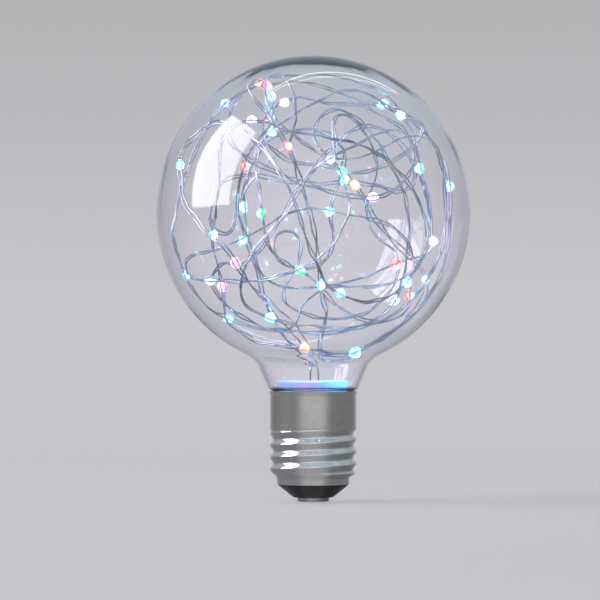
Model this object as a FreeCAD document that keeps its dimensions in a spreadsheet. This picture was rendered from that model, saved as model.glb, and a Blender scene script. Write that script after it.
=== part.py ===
# Clear globe bulb with a string of small coloured lights lying loose inside it, on a screw cap.
# Millimetres, +Z up the bulb's axis. The origin is the middle of the centre contact's flat underside.
# Y runs away from the side that the photograph shows.

import FreeCAD, Part
import math
import operator
import os

import Sketcher
from FreeCAD import Placement, Rotation, Vector
from types import SimpleNamespace

SIZES = (
    ("globe_diameter", 95.0, "outside of the glass"),
    ("glass_wall", 0.9, "blown glass wall"),
    ("neck_gain", 4.0, "radius that the neck gains from the shoulder up to the globe"),
    ("neck_flare", 0.414, "radius that the neck gains for each mm of height"),
    ("neck_blend", 8.0, "hollow curve between neck and globe"),
    ("shoulder_step", 0.2, "glass shoulder past the collar, in radius"),
    ("shoulder_round", 1.7, "rounded outer edge of the shoulder"),
    ("thread_crest_radius", 13.1, "outside of the thread and of the plain collar above it"),
    ("thread_depth", 0.9, "depth of the thread's groove"),
    ("thread_pitch", 3.629, "seven turns to the inch"),
    ("thread_turns", 4, "full turns"),
    ("shell_wall", 0.3, "rolled sheet of the cap"),
    ("foot_inset", 2.1, "foot of the shell inside the thread's crest, in radius"),
    ("foot_height", 2.684, "foot of the shell, below the thread"),
    ("collar_height", 11.0, "plain collar, above the thread"),
    ("rim_flare", 0.3, "how far the rim opens outwards"),
    ("rim_height", 1.2, "height of the opened rim"),
    ("rim_gap", 0.2, "rim to glass shoulder"),
    ("cement_wall", 1.0, "capping cement between glass tube and collar"),
    ("cement_gap", 0.4, "lower end of the glass tube to the cement"),
    ("tube_gap", 3.6, "thread to the lower end of the glass tube"),
    ("contact_inset", 1.2, "contact inside the insulator's face, in radius"),
    ("contact_height", 1.2, "centre contact"),
    ("contact_bevel", 0.5, "rounded edge of the contact"),
    ("stem_radius", 0.95, "rivet stem of the contact"),
    ("stem_height", 1.8, "rivet stem above the contact"),
    ("insulator_cone", 5.0, "radius that the insulator gains from its face up to the shell"),
    ("insulator_height", 4.0, "insulator outside the shell"),
    ("insulator_base", 2.3, "floor of the insulator's cup"),
    ("insulator_wall", 1.2, "wall of the insulator's cup inside the shell"),
    ("insulator_lip", 1.5, "height of the insulator inside the shell"),
    ("fit_gap", 0.05, "clearance of pieces that are pushed together"),
    ("plug_rise", 3.1, "upper face of the plug above the glass shoulder"),
    ("plug_gap", 0.3, "plug to the inside of the glass tube"),
    ("plug_disc", 3.0, "thickness of the plug's disc"),
    ("plug_skirt_wall", 1.1, "skirt under the disc"),
    ("plug_skirt_height", 6.7, "skirt under the disc"),
    ("plug_round", 0.5, "rounded edge of the disc"),
    ("board_gap", 1.0, "driver board to the plug's skirt, at each side"),
    ("board_height", 23.7, "driver board, down from the plug's disc"),
    ("board_thickness", 1.2, "driver board"),
    ("pad_radius", 0.75, "solder joints on the board"),
    ("pad_height", 0.3, "solder joints on the board"),
    ("capacitor_radius", 4.0, "smoothing capacitor"),
    ("capacitor_length", 11.5, "smoothing capacitor"),
    ("capacitor_round", 0.6, "rolled edges and groove of the capacitor's can"),
    ("resistor_radius", 1.3, "fusible resistor"),
    ("resistor_length", 7.0, "fusible resistor"),
    ("chip_width", 4.9, "driver chip and rectifier, along the legs' row"),
    ("chip_height", 3.9, "driver chip and rectifier, from row to row"),
    ("chip_depth", 1.5, "driver chip and rectifier, off the board"),
    ("leg_width", 0.6, "legs of the driver chip and rectifier"),
    ("leg_reach", 1.0, "legs of the driver chip and rectifier, past the body"),
    ("leg_height", 0.3, "legs of the driver chip and rectifier"),
    ("pin_diameter", 0.6, "wire legs of capacitor and resistor"),
    ("lead_diameter", 0.7, "leads from the board to the cap"),
    ("neutral_drop", 7.0, "neutral lead's start below the solder drop"),
    ("solder_radius", 1.1, "drop of solder inside the shell"),
    ("wire_diameter", 0.5, "each of the two wires of the string"),
    ("wire_spacing", 1.0, "centre to centre of the two wires"),
    ("wire_left", 0.85, "where the first wire leaves the plug, left of the axis"),
    ("wire_right", 1.58, "where the second wire leaves the plug, right of the axis"),
    ("wire_rise", 2.4, "straight stretch above the plug"),
    ("bead_length", 3.6, "epoxy drop along the wires"),
    ("bead_diameter", 2.7, "epoxy drop across the wires"),
    ("bead_margin", 0.3, "straight wire on each side of the epoxy drop"),
    ("led_length", 1.6, "lamp chip from wire to wire"),
    ("led_width", 0.8, "lamp chip along the wires"),
    ("led_height", 0.4, "lamp chip off the wires"),
)

# Route of the string's middle line, in percent of the globe's inside radius from the globe's centre:
# X to the right, Y away from the viewer, Z up. A plain point is a bend. A pair is a lamp's middle and
# half of the straight run that it sits on.
ROUTE_SHARES = (
    (-34, -36, -53), ((-49.5, -53, -33), (-4, -3, 8)), (-66, -47, -16), (-83, -24, 4),
    ((-86.5, -8, 31), (0, 5, 8)), (-78, 2, 50), (-62, -10, 60), (-44, -30, 52), (-26, -62, 33),
    (-12, -76, 8), (-5, -74, -18), (4, -64, -38), ((16.9, -56, -53), (8, 4, -4)), (39, -44, -58),
    ((59.7, -30, -45.1), (7, 5, 8)), (75, -16, -18), (70, -12, 6), (54, -22, 29), (34, -40, 42),
    (8, -52, 47), (-18, -50, 51), ((-39.5, -40, 57.7), (-9, 3, 0)), (-60, -32, 46), (-60, -26, 22),
    ((-64.5, -18, -14.8), (-1, 3, -8)), ((-59.3, 4, -48.1), (1, 3, -9)), (-58, 8, -72), (-38, 0, -84),
    ((-5.7, -24, -87.8), (9, -2, -1)), ((27, -18, -89.5), (8, -1, 3)), (52, -18, -77), (70, -18, -60),
    (82, -12, -42), (89, -2, -18), ((89, 6, 17.6), (-1, 3, 9)), (80, 14, 46), (64, 14, 64),
    ((45.7, 8, 70.4), (-9, -1, 2)), (22, 8, 70), (2, 10, 73), ((-18.9, 4, 72.1), (-8, -4, -4)),
    (-35, -10, 57), (-30, -16, 42), (-14, -20, 31.5), ((18.8, -18, 26.3), (8, 0, -3)), (44, -18, 29),
    (64, -16, 40), (73, -12, 55), ((57, -6, 63.5), (-8, 2, 3)), (38, -2, 78), (20, 0, 81.5),
    (2, -2, 72), ((-26.5, -2, 53.1), (-7, 1, -6)), (-38, -2, 34), (-35, -6, 16),
    ((-33, -10, -0.8), (1, 2, -8)), (-29, -2, -24), ((-8.9, 2, -38.3), (8, 2, -4)), (14, 6, -60),
    (34, 2, -72), (54, 4, -70), ((62.6, 10, -54.4), (0, 3, 8)), (67, 12, -28), (54, 4, -9),
    (34, -6, -3), ((10.5, -12, 0.8), (-9, -1, 2)), (-16, -16, 0), ((-45.7, -28, -17.4), (-8, -2, -4)),
    (-66, -30, -26), (-82, -22, -28), (-82, -16, -40), ((-66.3, -14, -44.2), (8, 2, 0)),
    (-36, -20, -45), (-6, -34, -37), (14, -44, -21), (24, -46, 0), ((19.2, -40, 20.2), (-2, 3, 8)),
    (4, -32, 37), (-14, -28, 50), (-30, -18, 66), ((-30.5, -14, 82), (1, 2, 8)), (-17, -9, 90),
    (-12, -18, 74), (-11, -16, 60), (-14, -6, 46), (-24, 2, 38), (-40, 6, 22),
    ((-45.1, 8, 3.7), (1, 0, -8)), (-40, 4, -22), (-33, 6, -44), (-12, 14, -50), (12, 18, -47.5),
    (34, 18, -43), ((54, 18, -33.1), (8, 3, 3)), ((78.4, 20, -18.5), (-0.5, 2, 8)), (76, 24, 6),
    ((71, 22, 29.6), (-2, -2, 8)), (66, 22, 54), (56, 22, 71), (40, 18, 84), (14, 10, 93),
    (-14, 6, 92), ((-35.9, -6, 86), (-8, -3, -4)), (-52, -32, 66), (-57, -46, 48), (-42, -54, 32),
    (-16, -48, 21.5), (8, -56, 12.5), ((37.9, -50, 8.5), (8, 2, 0.5)), (60, -44, 20), (66, -38, 38),
    (56, -42, 54), (40, -46, 49), ((10.5, -54, 33.5), (-8, -1, -4)), (-6, -42, 18), (-18, -50, -4),
    (-36, -44, -20), (-46, -36, -40), (-47, -26, -58), ((-27.7, -22, -68.3), (8, -1, -3)),
    (0, -30, -74), (28, -34, -75), (54, -32, -66), (74, -26, -44), (84, -20, -22), (86, -12, 4),
    (84, -14, 28), (77, -24, 47), (62, -26, 50), (46, -22, 42), (24, -26, 32), (8, -24, 36),
    (-1, -16, 48), (3, -8, 62), (16, -4, 68), (30, -8, 60), (42, -12, 46), (58, -10, 16),
    (63, -8, -6), (61, -10, -28), ((53.3, 20, -57.8), (-5, 3, -8)), (36, 22, -74), (10, 26, -80),
    (-18, 20, -77), (-38, 20, -76), ((-55.8, 22, -69), (-8, 1, 3)), (-76, 16, -54),
    ((-83.5, 4, -41.5), (-3, -3, 8)), (-92, -8, -14), (-88, 2, 10), (-80, 14, 34), (-70, 14, 56),
    ((-57.5, 8, 71.5), (6, -1, 6)), (-32, 14, 86), (-6, 22, 90), (22, 34, 79), (47, 40, 65),
    (64, 38, 54), (70, 40, 32), (77, 40, 8), (78, 36, -20), (64, 40, -42), (38, 46, -50),
    (8, 48, -47), (-8, 46, -60), (-12, 42, -78), (-34, 38, -76), (-58, 34, -62), (-70, 32, -46),
    (-60, 40, -30), (-46, 46, -36), (-30, 52, -18), (-17, 56, 8), (0, 56, 30), (14, 54, 48),
    (38, 53, 62), (60, 47, 47), (72, 48, 24), (58, 58, 12), (37, 64, 22), (-8, 70, 20), (-47, 61, 29),
    (-66, 48, 18), (-69, 46, -8), (-56, 56, -16), (-50, 62, 4), (-38, 53, 42), (-20, 56, 56),
    (4, 62, 58), (24, 68, 44), (19, 74, 26), (10, 76, 2), (16, 76, -22), (-2, 72, -40),
    (-26, 66, -32), (-26, 68, -10), (-8, 74, -12), (-9, 64, -34), (-24, 56, -56), (-2, 54, -70),
    (30, 52, -70), (54, 50, -52), (58, 58, -26), (40, 68, -14), (34, 72, 6), (46, 62, 34),
    (28, 45, 64), (13, 27, 66), (14, 22, 48), (17, 16, 32), ((27.3, 14, 18), (6, 1, -7)),
    (42, 24, -6), (57, 32, -24), ((74.5, 26, -44), (1, -4, -8)), (66, 14, -65), (52, 8, -78),
    (32, 6, -89), (16, 4, -96), (5, 8, -94), (4, 9, -83), (10, 4, -66),
    ((4.6, -8, -47.3), (-1, -4, 8)), (2, -28, -16), (-5, -32, 10), (-11, -32, 28),
    ((-16.5, -36, 41.5), (-4, -1, 8)), (-32, -32, 66), (-41, -24, 76), (-42, -20, 82), (-36, -20, 86),
    ((-27.7, -24, 74.2), (3, -3, -7)), (-29, -26, 54), (-38, -32, 42),
    ((-44.6, -34, 29.2), (-2, 1, -8)), (-50, -18, 6), (-44, -8, -16), (-36, -10, -38), (-31, -6, -58),
    (-25, -6, -74), ((-3.6, -14, -95.2), (5, -2, -4)),
)

# Each wire's own way from the plug to the start of the pair: X and Y as above, then the share of the
# height between the plug and the pair's first point.
FIRST_LEAD_SHARES = (
    (-1.2, -3, 0.22), (-3, -5, 0.33), (-8, -7, 0.45), (-15, -10, 0.57), (-22, -14, 0.72), (-29, -24, 0.87),
)
SECOND_LEAD_SHARES = (
    (1.8, -2.5, 0.22), (0, -3.5, 0.31), (-4, -5, 0.45), (-10, -7, 0.60), (-17, -10, 0.73), (-25, -19, 0.86),
)

# The first wire starts on this side of the pair's middle line.
FIRST_SIDE = Vector(-0.6, 0, -0.8)

# Leads inside the cap, in shares. The live lead runs from the contact's stem to its joint on the board:
# across, towards the board's front, and up. The neutral lead runs from its joint on the board to the
# solder drop: across, back to the shell, and below the solder drop.
LIVE_SHARES = ((0, 0, 0), (0, 0, 0.4), (0.6, 1.3, 0.75), (1, 1, 1))
NEUTRAL_SHARES = ((1, 0, 1), (1, 0, 0.5), (0.7, 0.17, 0.14), (0, 0.52, 0), (0, 1, 0))

# An arc of a bent wire takes up to this share of each of its two runs.
ARC_SHARE = 0.45

# Points that the shell's surface runs through: round it, and up it for each turn of the thread.
SHELL_COLUMNS = 48
SHELL_ROWS_A_TURN = 8

doc = FreeCAD.newDocument("globe_bulb")
sheet = doc.addObject("Spreadsheet::Sheet", "Sizes")
for row, (alias, number, meaning) in enumerate(SIZES, start=1):
    sheet.set(f"A{row}", str(number))
    sheet.setAlias(f"A{row}", alias)
    sheet.set(f"B{row}", meaning)
doc.recompute()


class Size:
    """A length of the design: its number, and the expression on the sheet that gives it."""

    def __init__(self, number, text=None):
        self.number = float(number)
        self.text = text or str(number)

    def joined(self, sign, other, work):
        other = other if isinstance(other, Size) else Size(other)
        return Size(work(self.number, other.number), f"({self.text} {sign} {other.text})")

    def __add__(self, other):
        return self.joined("+", other, operator.add)

    def __sub__(self, other):
        return self.joined("-", other, operator.sub)

    def __mul__(self, other):
        return self.joined("*", other, operator.mul)

    def __truediv__(self, other):
        return self.joined("/", other, operator.truediv)

    def __neg__(self):
        return Size(0) - self

    def root(self):
        return Size(math.sqrt(self.number), f"sqrt({self.text})")


size = SimpleNamespace(**{row[0]: Size(sheet.get(row[0]), f"Sizes.{row[0]}") for row in SIZES})
NOTHING = Size(0)

# Places that several pieces share
shell_bottom = size.contact_height + size.insulator_height
thread_bottom = shell_bottom + size.foot_height
thread_top = thread_bottom + size.thread_pitch * size.thread_turns
rim_top = thread_top + size.collar_height
rim_foot = rim_top - size.rim_height
stem_top = size.contact_height + size.stem_height
collar_bore = size.thread_crest_radius - size.shell_wall
foot_radius = size.thread_crest_radius - size.foot_inset
foot_bore = foot_radius - size.shell_wall
face_radius = foot_radius - size.insulator_cone
contact_radius = face_radius - size.contact_inset
tube_radius = collar_bore - size.cement_wall
tube_bore = tube_radius - size.glass_wall
tube_bottom = thread_top + size.tube_gap
shoulder_height = rim_top + size.rim_gap
shoulder_radius = size.thread_crest_radius + size.shoulder_step
neck_radius = shoulder_radius + size.neck_gain
neck_top = shoulder_height + size.neck_gain / size.neck_flare
neck_slant = (Size(1) + size.neck_flare * size.neck_flare).root()
globe_radius = size.globe_diameter / 2
inside_radius = globe_radius - size.glass_wall
globe_centre = neck_top + (globe_radius * globe_radius - neck_radius * neck_radius).root()
globe_top = globe_centre + globe_radius
plug_radius = tube_bore - size.plug_gap
plug_top = shoulder_height + size.plug_rise
plug_floor = plug_top - size.plug_disc
board_width = (plug_radius - size.plug_skirt_wall - size.board_gap) * 2
board_bottom = plug_floor - size.board_height
board_face = size.board_thickness / 2
solder_height = tube_bottom - size.solder_radius
wire_depth = -(board_face + size.pad_height + size.wire_diameter / 2)
pad_top = plug_floor - size.pad_radius * 2

pieces = []


def piece(obj, label):
    """Give an object the name of its sub-part, and keep it for the files."""
    obj.Label = label
    pieces.append(obj)
    return obj


def bind(obj, **sizes):
    """Tie properties of an object to the sheet."""
    for name, length in sizes.items():
        obj.setExpression(name, length.text)


def put(obj, across, away, up, turn=Rotation()):
    """Place an object, with its place tied to the sheet."""
    obj.Placement = Placement(Vector(across.number, away.number, up.number), turn)
    for axis, length in (("x", across), ("y", away), ("z", up)):
        obj.setExpression(f"Placement.Base.{axis}", length.text)
    return obj


def arc_between(start, end, radius, side):
    """Return the short arc from start to end; with side 1 its centre is on the left of the way there."""
    half = (end - start).Length / 2
    across = Vector(start.y - end.y, end.x - start.x, 0).normalize() * side
    centre = (start + end) / 2 + across * math.sqrt(max(radius * radius - half * half, 0))
    first, last = (start, end) if side > 0 else (end, start)
    angles = [math.atan2(point.y - centre.y, point.x - centre.x) for point in (first, last)]
    return Part.ArcOfCircle(Part.Circle(centre, Vector(0, 0, 1), radius), *angles)


def outline(body, corners):
    """Draw a closed outline on a body's XZ plane, with its corners and radii tied to the sheet.

    A corner is (across, up), or (across, up, radius, side) where an arc runs on to the next corner.
    """
    sketch = body.newObject("Sketcher::SketchObject", body.Name + "_outline")
    plane = next(item for item in body.Origin.OriginFeatures if item.Role == "XZ_Plane")
    sketch.AttachmentSupport = [(plane, "")]
    sketch.MapMode = "FlatFace"
    points = [Vector(corner[0].number, corner[1].number, 0) for corner in corners]
    ends = []
    for corner, start, end in zip(corners, points, points[1:] + points[:1]):
        if len(corner) == 2:
            shape = sketch.addGeometry(Part.LineSegment(start, end))
            ends.append((shape, 1, 2))
            continue
        radius, side = corner[2:]
        shape = sketch.addGeometry(arc_between(start, end, radius.number, side))
        ends.append((shape, 1, 2) if side > 0 else (shape, 2, 1))
        number = sketch.addConstraint(Sketcher.Constraint("Radius", shape, radius.number))
        sketch.setExpression(f"Constraints[{number}]", radius.text)
    for corner, (shape, first, _), (before, _, last) in zip(corners, ends, ends[-1:] + ends[:-1]):
        sketch.addConstraint(Sketcher.Constraint("Coincident", before, last, shape, first))
        for axis, kind, length in ((-2, "DistanceX", corner[0]), (-1, "DistanceY", corner[1])):
            if length is NOTHING:
                sketch.addConstraint(Sketcher.Constraint("PointOnObject", shape, first, axis))
                continue
            place = Sketcher.Constraint(kind, -1, 1, shape, first, length.number)
            number = sketch.addConstraint(place)
            sketch.setExpression(f"Constraints[{number}]", length.text)
    return sketch


def lathe(name, corners):
    """Turn an outline round the Z axis."""
    body = doc.addObject("PartDesign::Body", name)
    sketch = outline(body, corners)
    turned = body.newObject("PartDesign::Revolution", name + "_turned")
    turned.Profile = sketch
    turned.ReferenceAxis = (sketch, ["V_Axis"])
    turned.Angle = 360
    doc.recompute()
    return body


def round_rings(body, radius, places):
    """Round the ring edges of a turned body that lie at the given places, across and up."""
    turned = body.Tip
    edges = []
    for number, edge in enumerate(turned.Shape.Edges, start=1):
        if edge.Degenerated or not isinstance(edge.Curve, Part.Circle):
            continue
        ring = Vector(edge.Curve.Radius, edge.Curve.Center.z, 0)
        if any(ring.isEqual(Vector(across.number, up.number, 0), 1e-4) for across, up in places):
            edges.append(f"Edge{number}")
    rounded = body.newObject("PartDesign::Fillet", body.Name + "_round")
    rounded.Base = (turned, edges)
    bind(rounded, Radius=radius)
    doc.recompute()
    return rounded


def box(name, corner, length, depth, height):
    """Make a box from its lower left front corner."""
    made = doc.addObject("Part::Box", name)
    bind(made, Length=length, Width=depth, Height=height)
    return put(made, *corner)


def rod(name, foot, radius, length, turn=Rotation()):
    """Make a round rod that stands on its foot, turned with it."""
    made = doc.addObject("Part::Cylinder", name)
    bind(made, Radius=radius, Height=length)
    return put(made, *foot, turn)


def joined(name, parts):
    """Fuse objects into one."""
    made = doc.addObject("Part::MultiFuse", name)
    made.Shapes = parts
    return made


def cut(name, base, tool):
    """Cut one object out of another."""
    made = doc.addObject("Part::Cut", name)
    made.Base = base
    made.Tool = tool
    return made


def bent_path(points, lamps=None):
    """Join straight runs by arcs that are as large as the runs allow; return the wire and its radii.

    lamps gives, for a run that carries a lamp, the lamp's middle: the wire stays straight there.
    """
    lamps = lamps or {}
    straight = (size.bead_length / 2 + size.bead_margin).number
    room = []
    for number, (start, end) in enumerate(zip(points, points[1:])):
        share = (end - start).Length * ARC_SHARE
        along = (end - start).normalize()
        middle = lamps.get(number)
        if middle is None:
            room.append((share, share))
        else:
            ends = ((middle - start).dot(along), (end - middle).dot(along))
            room.append([min(share, length - straight) for length in ends])
    edges = []
    radii = []
    reached = points[0]
    for number in range(1, len(points) - 1):
        corner = points[number]
        back = (points[number - 1] - corner).normalize()
        onward = (points[number + 1] - corner).normalize()
        reach = min(room[number - 1][1], room[number][0])
        half = back.getAngle(onward) / 2
        radius = reach * math.tan(half)
        middle = corner + (back + onward).normalize() * (reach / math.cos(half) - radius)
        entry = corner + back * reach
        leave = corner + onward * reach
        edges.append(Part.LineSegment(reached, entry).toShape())
        edges.append(Part.Arc(entry, middle, leave).toShape())
        radii.append(radius)
        reached = leave
    edges.append(Part.LineSegment(reached, points[-1]).toShape())
    return Part.Wire(edges), radii


def bent_wire(name, points, diameter, lamps=None):
    """Sweep a round wire along a bent path, and print what it measures."""
    path, radii = bent_path(points, lamps)
    start = points[0]
    ring = Part.makeCircle(diameter.number / 2, start, points[1] - start)
    made = doc.addObject("Part::Feature", name)
    made.Shape = path.makePipeShell([Part.Wire(ring)], True, False)
    made.Placement = Placement()
    expected = math.pi * diameter.number ** 2 / 4 * path.Length
    print(f"{name}: length {path.Length:.1f}, least radius {min(radii):.2f},",
          f"volume {made.Shape.Volume:.3f} of {expected:.3f}")
    return made


def glass_globe():
    """Blown globe, neck, rounded shoulder, and the tube that stands in the cap."""
    inner_floor = shoulder_height + size.glass_wall
    inner_shoulder = shoulder_radius - size.glass_wall * neck_slant
    inner_corner = (inner_shoulder + size.neck_flare * size.glass_wall, inner_floor)
    outer_corner = (shoulder_radius, shoulder_height)
    outer_joint = (neck_radius, neck_top)

    # The inner cone meets the inner sphere at a depth below the globe's centre that solves
    # (at_centre - flare * down)^2 + down^2 = radius^2.
    at_centre = inner_shoulder + size.neck_flare * (globe_centre - shoulder_height)
    square = neck_slant * neck_slant
    tilt = at_centre * size.neck_flare
    under = tilt * tilt - square * (at_centre * at_centre - inside_radius * inside_radius)
    down = (tilt + under.root()) / square
    inner_joint = (at_centre - size.neck_flare * down, globe_centre - down)

    body = lathe("glass_globe", [
        (NOTHING, globe_top, globe_radius, -1),
        outer_joint,
        outer_corner,
        (tube_radius, shoulder_height),
        (tube_radius, tube_bottom),
        (tube_bore, tube_bottom),
        (tube_bore, inner_floor),
        inner_corner,
        (*inner_joint, inside_radius, 1),
        (NOTHING, globe_top - size.glass_wall),
    ])
    round_rings(body, size.neck_blend, [outer_joint])
    round_rings(body, size.neck_blend + size.glass_wall, [inner_joint])
    round_rings(body, size.shoulder_round, [outer_corner])
    round_rings(body, size.shoulder_round - size.glass_wall, [inner_corner])
    round_rings(body, size.glass_wall / 3, [(tube_radius, tube_bottom)])
    return piece(body, "glass_globe")


def step(at, low, high):
    """Return a smooth rise from 0 at low to 1 at high."""
    share = min(max((at - low) / (high - low), 0), 1)
    return share * share * (3 - 2 * share)


def shell_radius(up, turn):
    """Return the cap's outside radius at a height and an angle."""
    pitch = size.thread_pitch.number
    crest = size.thread_crest_radius.number
    foot = foot_radius.number
    top = thread_top.number
    bottom = thread_bottom.number
    groove = 0.5 - 0.5 * math.cos(2 * math.pi * (up - top) / pitch - turn)
    fading = 1 - step(up, top - pitch / 2, top)
    threaded = crest - size.thread_depth.number * groove * fading
    opened = size.rim_flare.number * step(up, rim_foot.number, rim_top.number)
    return foot + (threaded - foot) * step(up, bottom - pitch / 4, bottom + pitch / 4) + opened


def shell_bore(up, turn):
    """Return the cap's inside radius: the wall is measured square to the sheet's slope."""
    near = size.thread_pitch.number / 400
    slope = (shell_radius(up + near, turn) - shell_radius(up - near, turn)) / (2 * near)
    return shell_radius(up, turn) - size.shell_wall.number * math.hypot(1, slope)


def screw_shell():
    """Rolled brass cap: foot, thread, plain collar and opened rim in one sheet."""
    low = shell_bottom.number
    high = rim_top.number
    rows = math.ceil((high - low) / size.thread_pitch.number * SHELL_ROWS_A_TURN)
    heights = [low + (high - low) * row / rows for row in range(rows + 1)]
    angle = 2 * math.pi / SHELL_COLUMNS
    turns = [angle * (column % SHELL_COLUMNS) for column in range(SHELL_COLUMNS + 1)]
    skins = []
    for radius_at in (shell_radius, shell_bore):
        grid = []
        for turn in turns:
            radii = [radius_at(up, turn) for up in heights]
            grid.append([Vector(radius * math.cos(turn), radius * math.sin(turn), up)
                         for radius, up in zip(radii, heights)])
        surface = Part.BSplineSurface()
        surface.interpolate(grid)
        first, last, bottom, top = surface.bounds()
        halves = []
        for start, end in ((first, (first + last) / 2), ((first + last) / 2, last)):
            half = surface.copy()
            half.segment(start, end, bottom, top)
            halves.append(half.toShape())
        skins.append(halves)
    outer, inner = skins
    faces = outer + [face.reversed() for face in inner]
    for height in (low, high):
        rings = []
        for halves in skins:
            edges = [edge for face in halves for edge in face.Edges
                     if max(abs(corner.Point.z - height) for corner in edge.Vertexes) < 1e-6]
            rings.append(Part.Wire(Part.__sortEdges__(edges)))
        faces.append(Part.makeFace(rings, "Part::FaceMakerBullseye"))
    metal = Part.makeCompound(faces)
    metal.sewShape()
    solid = Part.makeSolid(metal.Shells[0])
    if solid.Volume < 0:
        solid.reverse()
    made = doc.addObject("Part::Feature", "screw_shell")
    made.Shape = solid
    made.Placement = Placement()
    return piece(made, "screw_shell")


def centre_contact():
    """Flat contact with a rivet stem."""
    return piece(lathe("centre_contact", [
        (NOTHING, NOTHING),
        (contact_radius - size.contact_bevel, NOTHING, size.contact_bevel, 1),
        (contact_radius, size.contact_bevel),
        (contact_radius, size.contact_height),
        (size.stem_radius, size.contact_height),
        (size.stem_radius, stem_top),
        (NOTHING, stem_top),
    ]), "centre_contact")


def cap_insulator():
    """Black insulator between contact and shell: a cone with a cup inside."""
    hole = size.stem_radius + size.fit_gap
    fitted = foot_bore - size.fit_gap
    cup = fitted - size.insulator_wall
    lip = shell_bottom + size.insulator_lip
    floor = size.contact_height + size.insulator_base
    return piece(lathe("cap_insulator", [
        (hole, size.contact_height),
        (face_radius, size.contact_height),
        (foot_radius, shell_bottom),
        (fitted, shell_bottom),
        (fitted, lip),
        (cup, lip),
        (cup - (lip - floor) / 2, floor),
        (hole, floor),
    ]), "cap_insulator")


def cap_cement():
    """Ring of cement between the glass tube and the collar."""
    inner = tube_radius + size.fit_gap
    outer = collar_bore - size.fit_gap
    bottom = tube_bottom + size.cement_gap
    return piece(lathe("cap_cement", [
        (inner, bottom),
        (outer, bottom),
        (outer, rim_foot),
        (inner, rim_foot),
    ]), "cap_cement")


def neck_plug():
    """White plug: a disc with a skirt, and two holes for the string's wires."""
    skirt = plug_radius - size.plug_skirt_wall
    skirt_foot = plug_floor - size.plug_skirt_height
    turned = lathe("plug_turned", [
        (NOTHING, plug_floor),
        (skirt, plug_floor),
        (skirt, skirt_foot),
        (plug_radius, skirt_foot),
        (plug_radius, plug_top - size.plug_round, size.plug_round, 1),
        (plug_radius - size.plug_round, plug_top),
        (NOTHING, plug_top),
    ])
    hole = size.wire_diameter / 2 + size.fit_gap
    foot = plug_floor - size.plug_disc
    left = rod("left_hole", (-size.wire_left, wire_depth, foot), hole, size.plug_disc * 3)
    right = rod("right_hole", (size.wire_right, wire_depth, foot), hole, size.plug_disc * 3)
    return piece(cut("neck_plug", turned, joined("wire_holes", [left, right])), "neck_plug")


def driver_board():
    """Circuit board that stands in the plug's skirt."""
    corner = (-(board_width / 2), -board_face, board_bottom)
    made = box("driver_board", corner, board_width, size.board_thickness, size.board_height)
    return piece(made, "driver_board")


def flat_chip(name, foot, legs):
    """Moulded chip on the back of the board, with legs in two rows."""
    low = -(size.chip_width / 2)
    block = box(name + "_block", (low, board_face, foot), size.chip_width, size.chip_depth, size.chip_height)
    parts = [block]
    for number in range(legs):
        spread = size.chip_width / legs
        left = low + spread * (number + 0.5) - size.leg_width / 2
        corner = (left, board_face, foot - size.leg_reach)
        reach = size.chip_height + size.leg_reach * 2
        parts.append(box(f"{name}_leg_{number}", corner, size.leg_width, size.leg_height, reach))
    return piece(joined(name, parts), name)


def wire_leg(name, top, drop):
    """Wire leg that leaves a component along Z and turns in to the board's front."""
    across, away, up = (length.number for length in top)
    points = [Vector(across, away, up), Vector(across, away, up + drop)]
    points.append(Vector(across, -board_face.number, up + drop))
    return bent_wire(name, points, size.pin_diameter)


def capacitor():
    """Smoothing capacitor in front of the board: a can with a rolled groove, and two wire legs."""
    edge = size.capacitor_round
    radius = size.capacitor_radius
    groove = edge * 3
    can = lathe("capacitor_can", [
        (NOTHING, NOTHING),
        (radius - edge, NOTHING, edge, 1),
        (radius, edge),
        (radius, groove - edge, edge * 1.4, -1),
        (radius, groove + edge),
        (radius, size.capacitor_length - edge, edge, 1),
        (radius - edge, size.capacitor_length),
        (NOTHING, size.capacitor_length),
    ])
    away = -(board_face + radius + size.fit_gap)
    across = -(radius / 2)
    foot = board_bottom + edge * 5
    put(can, across, away, foot)
    inside = foot + edge
    legs = [wire_leg(f"capacitor_leg_{number}", (across + offset, away, inside), -edge.number * 3)
            for number, offset in enumerate((-(radius / 3), radius / 3))]
    return piece(joined("capacitor", [can, *legs]), "capacitor")


def fuse_resistor():
    """Fusible resistor beside the capacitor, with its two wire legs."""
    radius = size.resistor_radius
    length = size.resistor_length
    foot = board_bottom + size.pin_diameter * 5
    barrel = lathe("resistor_barrel", [
        (NOTHING, NOTHING),
        (radius / 2, NOTHING, radius / 2, 1),
        (radius, radius / 2),
        (radius, length - radius / 2, radius / 2, 1),
        (radius / 2, length),
        (NOTHING, length),
    ])
    across = board_width / 2 - radius * 2
    away = -(board_face + radius + size.fit_gap)
    put(barrel, across, away, foot)
    reach = size.pin_diameter.number * 3
    inset = size.pin_diameter
    low = wire_leg("resistor_low_leg", (across, away, foot + inset), -reach)
    high = wire_leg("resistor_high_leg", (across, away, foot + length - inset), reach)
    return piece(joined("fuse_resistor", [barrel, low, high]), "fuse_resistor")


def cap_leads():
    """Leads from the board to the centre contact and to the shell."""
    side = board_width.number / 3
    front = (board_face + size.pad_height + size.lead_diameter / 2).number
    low = stem_top.number
    rise = board_bottom.number - low
    live = [Vector(side * across, -front * ahead, low + rise * up) for across, ahead, up in LIVE_SHARES]
    live.append(live[-1] + Vector(0, 0, size.pad_radius.number * 2))
    piece(bent_wire("live_lead", live, size.lead_diameter), "live_lead")
    back = (collar_bore - size.fit_gap).number - front
    drop = size.neutral_drop.number
    neutral = [Vector(-side * across, front + back * away, solder_height.number - drop * down)
               for across, away, down in NEUTRAL_SHARES]
    piece(bent_wire("neutral_lead", neutral, size.lead_diameter), "neutral_lead")


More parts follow.
